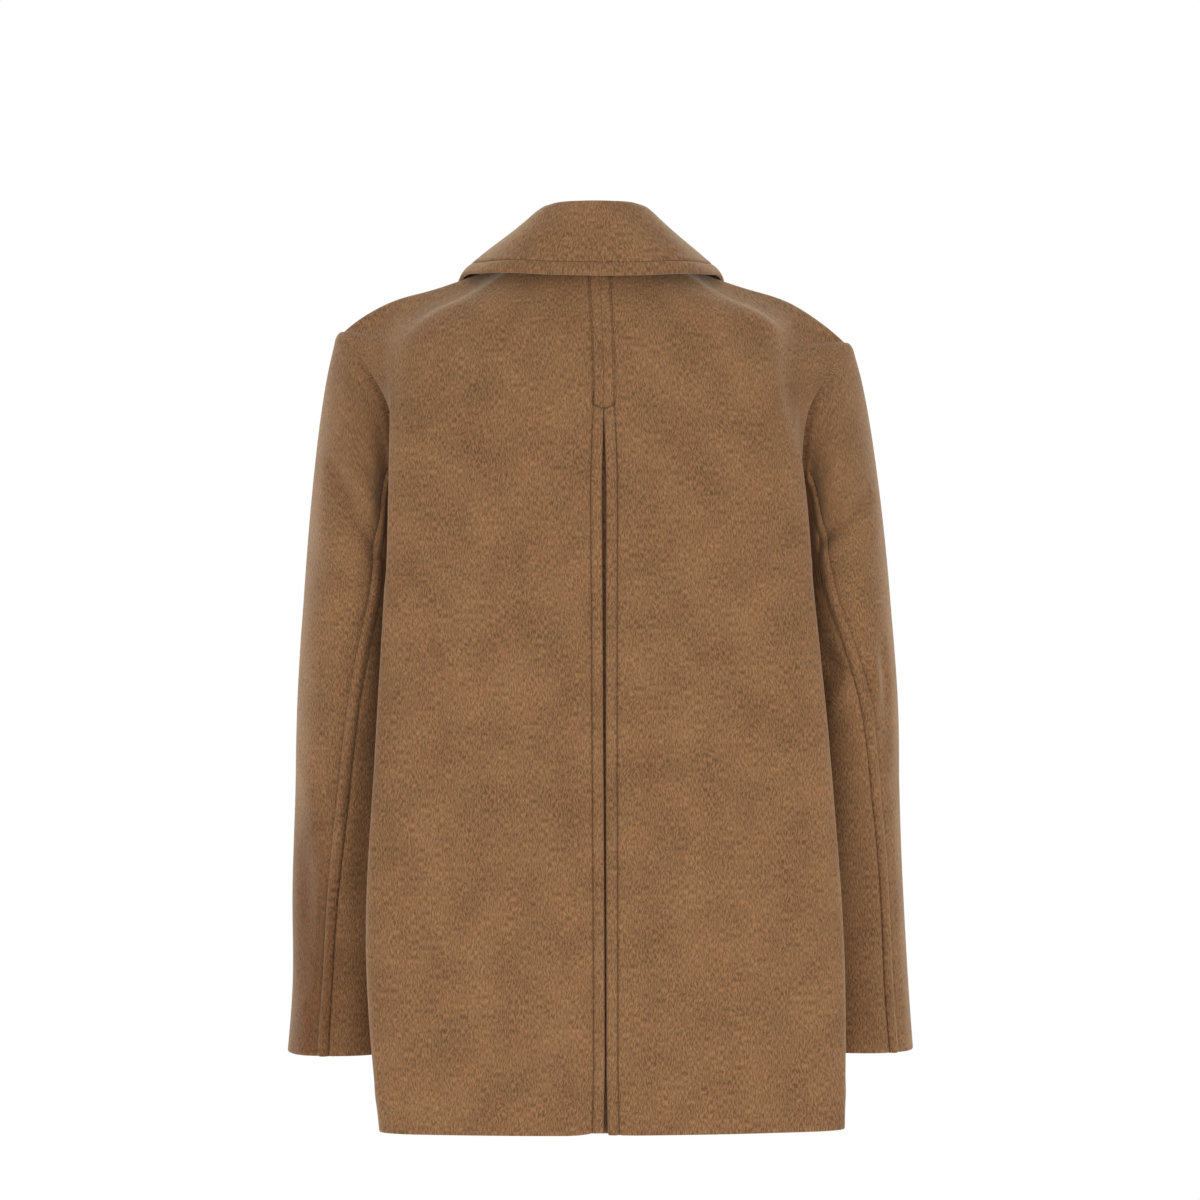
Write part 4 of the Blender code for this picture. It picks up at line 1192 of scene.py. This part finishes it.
def stitchRow(line, normals, sink):
    # capsules one pitch apart on the line, whose middle line rises by arch * sin(pi * share) - sink
    # ring(a) = cos(a) across + sin(a) outward, times radius * (tip + (1 - tip) * sin(pi * share)^0.5)
    along = runLength(line)
    centres = np.arange(thread["pitch"] / 2, along[-1], thread["pitch"])
    share = np.linspace(0, 1, thread["along"] + 1)
    spots = centres[:, None] + (share - 0.5) * thread["length"]
    middle = np.stack([np.interp(spots, along, line[:, k]) for k in range(3)], axis=-1)
    outward = unit(np.stack([np.interp(spots, along, normals[:, k]) for k in range(3)], axis=-1))
    tangent = unit(np.gradient(middle, axis=1))
    across = unit(np.cross(tangent, outward))
    arch = np.sin(math.pi * share)[None, :, None]
    middle = middle + outward * (arch * thread["arch"] - sink)
    turns = 2 * math.pi * np.arange(thread["sides"]) / thread["sides"]
    width = thread["radius"] * (thread["tip"] + (1 - thread["tip"]) * np.sin(math.pi * share) ** 0.5)
    ring = np.cos(turns)[:, None, None, None] * across + np.sin(turns)[:, None, None, None] * outward
    points = middle + ring * width[None, None, :, None]
    points = points.transpose(1, 2, 0, 3).reshape(-1, 3)
    sides, rings = thread["sides"], thread["along"] + 1
    quads = ringQuads(pointNumbers(rings, sides))
    stitchStarts = np.arange(len(centres)) * sides * rings
    return points, (quads[None] + stitchStarts[:, None, None]).reshape(-1, 4)


def joinedMesh(name, parts):
    # one mesh of several (points, quads)
    starts = np.cumsum([0] + [len(points) for points, _ in parts[:-1]])
    quads = [quads + start for (_, quads), start in zip(parts, starts)]
    return meshObject(name, np.concatenate([points for points, _ in parts]), np.concatenate(quads))


def threadPiece(name, row, sink=thread["sink"]):
    # a row of stitches along a line with its normals
    item = meshObject(name, *stitchRow(*row, sink))
    return item


def columnAt(piece, distances, wanted, outward, rows=slice(None)):
    # the grid line that lies the wanted distance from an edge, with its normals
    grid = piece["grid"]
    j = np.abs(distances.mean(axis=0) - wanted).argmin()
    return grid[rows, j], (gridNormals(grid) * outward)[rows, j]


def pleatTopRow(backs):
    # the paths of both halves in even steps, laid on the panels, and x * draw where |x| is under the reach
    points = []
    middle = back["tackMiddle"]
    for side, order in ((left, 1), (right, -1)):
        tree = surfaceTree(backs[side]["grid"])
        path = np.array(back["barTack"][side], float)
        run = runLength(path)
        at = np.linspace(0, run[-1], back["tackSpots"])[: -1 if side == left else None]
        spots = np.stack([np.interp(at, run, path[:, 0]), np.interp(at, run, path[:, 1])], axis=1)[::order]
        points += [laidOn(tree, x if abs(x) > middle else middle * side, z, 0, 1) for x, z in spots]
    line = np.array([place for place, _ in points])
    reach, draw = back["tackDraw"]
    line[:, 0] = np.where(np.abs(line[:, 0]) < reach, line[:, 0] * draw, line[:, 0])
    return line, np.array([out for _, out in points])


button = {
    "columnX": 58,
    "rowsZ": (-352, -452, -552),
    "lift": 0.6,
    "profile": (  # radius and height, from the middle of the face to the middle of the back
        (0.02, 2.1),
        (3, 2.1),
        (5.5, 2.15),
        (7.2, 2.5),
        (8.2, 3.3),
        (9.2, 3.75),
        (10.4, 3.6),
        (11.2, 3.0),
        (11.5, 2.2),
        (11.2, 1.4),
        (9.8, 0.8),
        (6, 0.5),
        (0.02, 0.4),
    ),
    "profileSteps": (6, 6, 4, 3, 3, 3, 3, 2, 2, 3, 3, 3),
    "facePoints": 22,  # the points of the fine profile that belong to the face
    "sides": 48,
    "holes": (2, 1.5, 0.95),  # distance from the middle both ways, depth, width
    "thread": (2.1, 2.7, 0.5, 0.45),  # half its length, height, arch, radius
    "threadSteps": 8,
    "threadSides": 8,
    "threadTips": (0.03, 2.5),  # where the narrowing starts on the sine, and how steep it is
}


def buildButton(number, centre, normal):
    # a turned profile r(s), h(s) with a raised rim; four holes press its face in as bells
    profile = curveThrough(button["profile"], button["profileSteps"])
    turns = np.linspace(0, 2 * math.pi, button["sides"] + 1)[:-1]
    sideAxis = unit(np.cross(normal, (0, 0, 1)))
    upAxis = np.cross(sideAxis, normal)
    x = profile[:, 0:1] * np.cos(turns)
    y = profile[:, 0:1] * np.sin(turns)
    height = np.repeat(profile[:, 1:2], len(turns), axis=1)
    upper = (np.arange(len(profile)) < button["facePoints"])[:, None]
    away, depth, width = button["holes"]
    for holeX, holeY in ((away, away), (-away, away), (away, -away), (-away, -away)):
        height = height - upper * depth * bell(np.hypot(x - holeX, y - holeY), width)
    points = centre + x[..., None] * sideAxis + y[..., None] * upAxis
    points = points + (height + button["lift"])[..., None] * normal
    quads = ringQuads(pointNumbers(*x.shape))
    flat = points.reshape(-1, 3)
    first, second, _, last = flat[quads[2 * button["sides"]]]
    if np.dot(np.cross(second - first, last - first), normal) < 0:
        quads = quads[:, ::-1]
    item = meshObject("turned_button_%d" % number, flat, quads)
    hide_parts("button_%d" % number)
    return item, sideAxis, upAxis


def buildButtons(panel):
    # three rows of two on the outer front, each with two threads across its holes
    tree = surfaceTree(panel["grid"])
    spots = [(x, z) for z in button["rowsZ"] for x in (-button["columnX"], button["columnX"])]
    half, height, arch, radius = button["thread"]
    along = np.linspace(-half, half, button["threadSteps"] + 1)[:, None]
    rise = arch * np.sin(np.linspace(0, math.pi, button["threadSteps"] + 1))[:, None]
    items, crossings = [], []
    for number, (x, z) in enumerate(spots, 1):
        centre, normal = laidOn(tree, x, z, 0)
        item, sideAxis, upAxis = buildButton(number, centre, normal)
        items.append(item)
        for holeY in (-button["holes"][0], button["holes"][0]):
            line = centre + along * sideAxis + holeY * upAxis + normal * (height + rise)
            crossings.append(tube(line, radius))
    item = joinedMesh("button_thread", crossings)
    return items, item


def tube(line, radius):
    # a round thread along a line: ring(a) = cos(a) across + sin(a) up, narrowed to a point at both ends
    tangent = unit(np.gradient(line, axis=0))
    across = unit(np.cross(tangent, (0.3, 1.0, 0.2)))
    up = np.cross(across, tangent)
    sides = button["threadSides"]
    tip, steepness = button["threadTips"]
    width = radius * np.clip(np.sin(np.linspace(tip, math.pi - tip, len(line))) * steepness, 0, 1)
    turns = 2 * math.pi * np.arange(sides) / sides
    ring = np.cos(turns)[None, :, None] * across[:, None] + np.sin(turns)[None, :, None] * up[:, None]
    points = line[:, None] + ring * width[:, None, None]
    return points.reshape(-1, 3), ringQuads(pointNumbers(len(line), sides))


wool = {
    "dark": (0.080, 0.038, 0.015, 1),
    "light": (0.405, 0.224, 0.108, 1),
    "red": (0.300, 0.140, 0.068, 1),
    "yellow": (0.290, 0.172, 0.078, 1),
    # painted shade low on the left sleeve, where it turns away from the light: its colour, the middle of its
    # ellipsoid, the inverse half widths and the fade
    "paintedShadeColor": (0.68, 0.58, 0.52, 1),
    "paintedShadeCentre": (0.262, 0.015, -0.60),  # in metres, as are the half widths below it
    "paintedShadeShare": (1 / 0.036, 1 / 0.09, 1 / 0.13),
    "paintedShadeFade": (1.25, 0.6),
    "swayScale": 55.0,
    "sway": (0.011, 0.003, 0),
    "noises": (  # scale across, along and through, detail, roughness
        ("Streak", (1100, 240, 1), 1.5, 0.5),
        ("Fibre", (2400, 640, 1), 2.0, 0.5),
        ("Patch", (26, 20, 1), 3.0, 0.55),
        ("Hue", (34, 26, 1), 2.0, 0.5),
    ),
    "ranges": {  # the part of each noise that is stretched from 0 to 1
        "Streak": (0.39, 0.61),
        "Fibre": (0.32, 0.68),
        "Patch": (0.3, 0.7),
        "Hue": (0.38, 0.62),
    },
    "roughness": (0.3, 0.7, 0.88, 1.0),
    "fibreHeight": 0.45,
    "streakShare": 0.55,  # shares of the three noises in the shade
    "fibreShare": 0.22,
    "patchShare": 0.23,
    "hueSoft": 0.2,
    "hueShare": 0.1,
}


def link(tree, source, target):
    # from an output to an input
    tree.links.new(source, target)


def node(tree, kind, **values):
    # a new node; each value goes to its property of that name, or else to its input
    made = tree.nodes.new(kind)
    for key, value in values.items():
        if hasattr(made, key):
            setattr(made, key, value)
        else:
            made.inputs[key].default_value = value
    return made


def newFinish(name):
    # a material with its tree and its shader
    material = bpy.data.materials.new(name)
    material.use_nodes = True
    return material, material.node_tree, material.node_tree.nodes["Principled BSDF"]


def objectPlace(tree):
    # Object coordinates
    return node(tree, "ShaderNodeTexCoord").outputs["Object"]


def byVector(tree, operation, source, vector):
    # source (operation) vector
    made = node(tree, "ShaderNodeVectorMath", operation=operation)
    made.inputs[1].default_value = vector
    link(tree, source, made.inputs[0])
    return made.outputs[0]


def weighted(tree, source, weight, rest=None):
    # source * weight + rest
    made = node(tree, "ShaderNodeMath", operation="MULTIPLY" if rest is None else "MULTIPLY_ADD")
    made.inputs[1].default_value = weight
    link(tree, source, made.inputs[0])
    if rest is not None:
        link(tree, rest, made.inputs[2])
    return made.outputs[0]


def mixColor(tree, factor, first, second, blend="MIX"):
    # first at factor 0, second at 1; each of the three is a value or an output
    made = node(tree, "ShaderNodeMix", data_type="RGBA", blend_type=blend)
    for socket, value in ((made.inputs[0], factor), (made.inputs[6], first), (made.inputs[7], second)):
        if isinstance(value, (int, float, tuple)):
            socket.default_value = value
        else:
            link(tree, value, socket)
    return made.outputs[2]


def rangeOf(tree, source, low, high, toLow=0.0, toHigh=1.0):
    # low becomes toLow and high becomes toHigh, by a straight line between and level outside
    made = node(tree, "ShaderNodeMapRange")
    for socket, value in zip(made.inputs[1:5], (low, high, toLow, toHigh)):
        socket.default_value = value
    link(tree, source, made.inputs[0])
    return made.outputs[0]


def napGroup():
    # brushed nap: two stretched noises for the laid fibres, two slow ones for shade and hue, bent by another
    # height = streak + fibre * fibreHeight
    group = bpy.data.node_groups.new("brushedNap", "ShaderNodeTree")
    group.interface.new_socket("Cut", in_out="INPUT", socket_type="NodeSocketVector")
    for name in ("Streak", "Fibre", "Patch", "Hue", "Height"):
        group.interface.new_socket(name, in_out="OUTPUT", socket_type="NodeSocketFloat")
    entry = group.nodes.new("NodeGroupInput")
    leave = group.nodes.new("NodeGroupOutput")
    sway = node(group, "ShaderNodeTexNoise", Scale=wool["swayScale"], Detail=2.0)
    bent = node(group, "ShaderNodeVectorMath", operation="ADD")
    link(group, entry.outputs["Cut"], sway.inputs["Vector"])
    link(group, entry.outputs["Cut"], bent.inputs[0])
    swayShift = byVector(group, "SUBTRACT", sway.outputs["Color"], (0.5, 0.5, 0.5))
    link(group, byVector(group, "MULTIPLY", swayShift, wool["sway"]), bent.inputs[1])
    noises = {}
    for name, scale, detail, rough in wool["noises"]:
        mapping = node(group, "ShaderNodeMapping", Scale=scale)
        mapping.inputs["Location"].default_value = (len(name) * 3.1, len(name) * 1.7, 0)
        noise = node(group, "ShaderNodeTexNoise", Scale=1.0, Detail=detail, Roughness=rough)
        link(group, bent.outputs[0], mapping.inputs["Vector"])
        link(group, mapping.outputs["Vector"], noise.inputs["Vector"])
        link(group, noise.outputs["Fac"], leave.inputs[name])
        noises[name] = noise.outputs["Fac"]
    height = weighted(group, noises["Fibre"], wool["fibreHeight"], noises["Streak"])
    link(group, height, leave.inputs["Height"])
    return group


def paintedSleeveShade(tree):
    # painted shade, low on the left sleeve where the cloth turns away from the light
    # 1 where the length of (place - paintedShadeCentre) * paintedShadeShare is under 0.6, and 0 where it is
    # over 1.25
    offset = byVector(tree, "SUBTRACT", objectPlace(tree), wool["paintedShadeCentre"])
    length = node(tree, "ShaderNodeVectorMath", operation="LENGTH")
    link(tree, byVector(tree, "MULTIPLY", offset, wool["paintedShadeShare"]), length.inputs[0])
    return rangeOf(tree, length.outputs["Value"], *wool["paintedShadeFade"])


def brushedWool(group):
    # the shade mixes dark and light, a slow hue tints it, and painted shade darkens the lower left sleeve
    material, tree, shader = newFinish("brushedWool")
    cut = node(tree, "ShaderNodeUVMap", uv_map="cut")
    nap = tree.nodes.new("ShaderNodeGroup")
    nap.node_tree = group
    link(tree, cut.outputs["UV"], nap.inputs["Cut"])
    parts = {name: rangeOf(tree, nap.outputs[name], *ends) for name, ends in wool["ranges"].items()}
    shade = weighted(tree, parts["Patch"], wool["patchShare"])
    shade = weighted(tree, parts["Fibre"], wool["fibreShare"], shade)
    shade = weighted(tree, parts["Streak"], wool["streakShare"], shade)
    base = mixColor(tree, shade, wool["dark"], wool["light"])
    hue = mixColor(tree, parts["Hue"], wool["red"], wool["yellow"])
    color = mixColor(tree, wool["hueSoft"], base, hue, "SOFT_LIGHT")
    color = mixColor(tree, wool["hueShare"], color, hue)
    # painted shade: the lower left sleeve is multiplied darker
    color = mixColor(tree, paintedSleeveShade(tree), color, wool["paintedShadeColor"], "MULTIPLY")
    link(tree, color, shader.inputs["Base Color"])
    link(tree, rangeOf(tree, nap.outputs["Streak"], *wool["roughness"]), shader.inputs["Roughness"])
    bump = node(tree, "ShaderNodeBump", Strength=0.8, Distance=0.0009)
    link(tree, nap.outputs["Height"], bump.inputs["Height"])
    link(tree, bump.outputs["Normal"], shader.inputs["Normal"])
    shader.inputs["Specular IOR Level"].default_value = 0.15
    shader.inputs["Sheen Weight"].default_value = 0.55
    shader.inputs["Sheen Roughness"].default_value = 0.4
    shader.inputs["Sheen Tint"].default_value = (0.95, 0.78, 0.58, 1)
    return material


def threadWithPaintedShade():
    # a fine noise mixes two browns for the twist; the browns are darker than the cloth, partly the thread's
    # own colour and partly painted shade of the furrows the stitches lie in
    material, tree, shader = newFinish("camelThread")
    twist = node(tree, "ShaderNodeTexNoise", Scale=900.0, Detail=2.0)
    link(tree, objectPlace(tree), twist.inputs["Vector"])
    # painted shade: both browns are darkened like the shadow in a stitched furrow
    color = mixColor(tree, twist.outputs["Fac"], (0.09, 0.045, 0.02, 1), (0.17, 0.088, 0.04, 1))
    link(tree, color, shader.inputs["Base Color"])
    shader.inputs["Roughness"].default_value = 0.7
    shader.inputs["Specular IOR Level"].default_value = 0.25
    return material


def hornFinish():
    # a slanted, stretched and distorted noise gives the grain and how polished it is
    material, tree, shader = newFinish("polishedHorn")
    mapping = node(tree, "ShaderNodeMapping", Scale=(60, 60, 240), Rotation=(0.3, 0.7, 0.2))
    grain = node(tree, "ShaderNodeTexNoise", Scale=1.0, Detail=4.0, Distortion=1.2)
    link(tree, objectPlace(tree), mapping.inputs["Vector"])
    link(tree, mapping.outputs["Vector"], grain.inputs["Vector"])
    tone = rangeOf(tree, grain.outputs["Fac"], 0.35, 0.65)
    color = mixColor(tree, tone, (0.035, 0.016, 0.008, 1), (0.16, 0.078, 0.034, 1))
    link(tree, color, shader.inputs["Base Color"])
    link(tree, rangeOf(tree, grain.outputs["Fac"], 0.3, 0.7, 0.25, 0.42), shader.inputs["Roughness"])
    return material


backs, fronts, sleeves, lapels = {}, {}, {}, {}
for side in (left, right):
    backs[side] = buildBack(side)
    fronts[side] = buildFront(side)
    sleeves[side] = buildSleeve(side)
    lapels[side] = buildLapel(side, fronts[side])
print("panels, sleeves and lapels built")
underlay = buildUnderlay()
necklines = {}
for side in (left, right):
    necklines[side] = np.concatenate([backs[side]["neckline"], fronts[side]["neckline"][::-1][1:]])
collarPiece = buildCollar(necklines)
print("collar built")

threads = []
for side in (left, right):
    hand = hands[side]
    panel = backs[side]
    rows = panel["grid"][:, 0, 2] < back["stitchTopZ"]
    line = columnAt(panel, panel["fromEdge"], back["topstitch"], -side, rows)
    threads.append(threadPiece("stitches_back_" + hand, line))
    panel = sleeves[side]["top"]
    line = columnAt(panel, panel["toEnd"], sleeve["welt"], -side, sleeve["stitchRows"])
    threads.append(threadPiece("stitches_sleeve_" + hand, line))
    panel = fronts[side]
    rows = panel["grid"][:, 0, 2] < front["stitchTopZ"]
    line = columnAt(panel, panel["places"], front["topstitch"], side, rows)
    threads.append(threadPiece("stitches_front_" + hand, line))
threads.append(threadPiece("stitches_pleat_top", pleatTopRow(backs), -back["tackLift"]))
line = columnAt(collarPiece, collarPiece["toEdge"], collar["topstitch"], collarPiece["turn"])
threads.append(threadPiece("stitches_collar", line))
print("stitches sewn")
buttons, buttonThread = buildButtons(fronts[right])
print("buttons sewn on")

woolMaterial = brushedWool(napGroup())
threadMaterial = threadWithPaintedShade()
hornMaterial = hornFinish()
clothPieces = [underlay, collarPiece["item"]]
for side in (left, right):
    clothPieces += [backs[side]["item"], fronts[side]["item"], lapels[side]]
    clothPieces += [sleeves[side]["top"]["item"], sleeves[side]["under"]["item"]]
for item in clothPieces:
    item.data.materials.append(woolMaterial)
for item in threads + [buttonThread]:
    item.data.materials.append(threadMaterial)
for item in buttons:
    item.data.materials.append(hornMaterial)
print("finishes given")


studio = {
    "floorZ": -1.45,  # the wearer's shoulders are this far above the floor
    "floorRadius": 2.6,
    "floorRings": (0.4, 0.8, 1.0),
    "floorSides": 96,
    "lights": (  # place, width and height, watts, what it looks at
        ("softBackLeft", (2.5, 2.6, -0.75), (1.6, 2.0), 48, (0, 0, -0.5)),
        ("softBackRight", (-2.5, 2.6, -0.75), (1.6, 2.0), 50, (0, 0, -0.5)),
        ("softFrontLeft", (2.4, -2.9, 0.1), (1.6, 2.2), 48, (0, 0, -0.35)),
        ("softFrontRight", (-2.4, -2.9, 0.1), (1.6, 2.2), 48, (0, 0, -0.35)),
        ("softTop", (0, -0.3, 2.0), (2.2, 1.4), 14, (0, 0, -0.35)),
    ),
    "airStrength": 0.58,
    "sensorWidth": 36,
    "cameraDistance": 3.9,
    "azimuth": 176.7,
    "targetX": -0.0026,
    "targetZ": -0.2974,
    "frameHeight": 1.056,  # height of the photo at the jacket
}


def buildFloor():
    # a pale disc: three rings of cells round a fan
    count = studio["floorSides"]
    turns = np.linspace(0, 2 * math.pi, count + 1)[:-1]
    radii = np.array(studio["floorRings"]) * studio["floorRadius"] / mm
    ring = np.stack([np.cos(turns), np.sin(turns), np.zeros_like(turns)], axis=1)
    points = np.concatenate([ring * radius for radius in radii] + [[[0, 0, 0]]])
    points[:, 2] = studio["floorZ"] / mm
    index = pointNumbers(len(radii), count)
    quads = ringQuads(index)[:, [0, 3, 2, 1]]
    fan = [[index.size, int(a), int(b)] for a, b in zip(index[0], np.roll(index[0], -1))]
    mesh = bpy.data.meshes.new("floor")
    mesh.from_pydata((points * mm).tolist(), [], quads.tolist() + fan)
    floor = bpy.data.objects.new("floor", mesh)
    bpy.context.scene.collection.objects.link(floor)
    material, tree, shader = newFinish("paleFloor")
    grain = node(tree, "ShaderNodeTexNoise", Scale=6.0, Detail=3.0)
    link(tree, objectPlace(tree), grain.inputs["Vector"])
    color = mixColor(tree, grain.outputs["Fac"], (0.80, 0.80, 0.79, 1), (0.84, 0.84, 0.83, 1))
    link(tree, color, shader.inputs["Base Color"])
    shader.inputs["Roughness"].default_value = 0.8
    mesh.materials.append(material)


def buildLight(name, place, size, watts, target):
    # a soft rectangle that looks at the target
    data = bpy.data.lights.new(name, "AREA")
    data.shape = "RECTANGLE"
    data.size, data.size_y = size
    data.energy = watts
    item = bpy.data.objects.new(name, data)
    item.location = place
    item.rotation_euler = (Vector(target) - Vector(place)).to_track_quat("-Z", "Y").to_euler()
    bpy.context.scene.collection.objects.link(item)


def buildStudio():
    # the camera sees a white world, and the jacket gets a weaker one
    buildFloor()
    for light in studio["lights"]:
        buildLight(*light)
    world = bpy.data.worlds.new("studioAir")
    world.use_nodes = True
    tree = world.node_tree
    tree.nodes.clear()
    output = node(tree, "ShaderNodeOutputWorld")
    given = node(tree, "ShaderNodeBackground", Color=(1, 1, 1, 1), Strength=studio["airStrength"])
    seen = node(tree, "ShaderNodeBackground", Color=(1, 1, 1, 1))
    rays = node(tree, "ShaderNodeLightPath")
    choose = node(tree, "ShaderNodeMixShader")
    sources = (rays.outputs["Is Camera Ray"], given.outputs[0], seen.outputs[0])
    for source, socket in zip(sources, choose.inputs):
        link(tree, source, socket)
    link(tree, choose.outputs[0], output.inputs["Surface"])
    bpy.context.scene.world = world
    bpy.context.scene.view_settings.view_transform = "Standard"


def buildCamera():
    # the camera of the photo: far off, a little to one side of the middle of the back
    data = bpy.data.cameras.new("camera")
    distance = studio["cameraDistance"]
    data.sensor_width = studio["sensorWidth"]
    data.lens = studio["sensorWidth"] * distance / studio["frameHeight"]
    data.clip_start, data.clip_end = 0.05, 60
    camera = bpy.data.objects.new("camera", data)
    angle = math.radians(studio["azimuth"])
    away = Vector((math.sin(angle), -math.cos(angle), 0))
    target = Vector((studio["targetX"], 0, studio["targetZ"]))
    camera.location = target + away * distance
    camera.rotation_euler = (-away).to_track_quat("-Z", "Y").to_euler()
    bpy.context.scene.collection.objects.link(camera)
    bpy.context.scene.camera = camera


buildStudio()
buildCamera()
print("studio set")
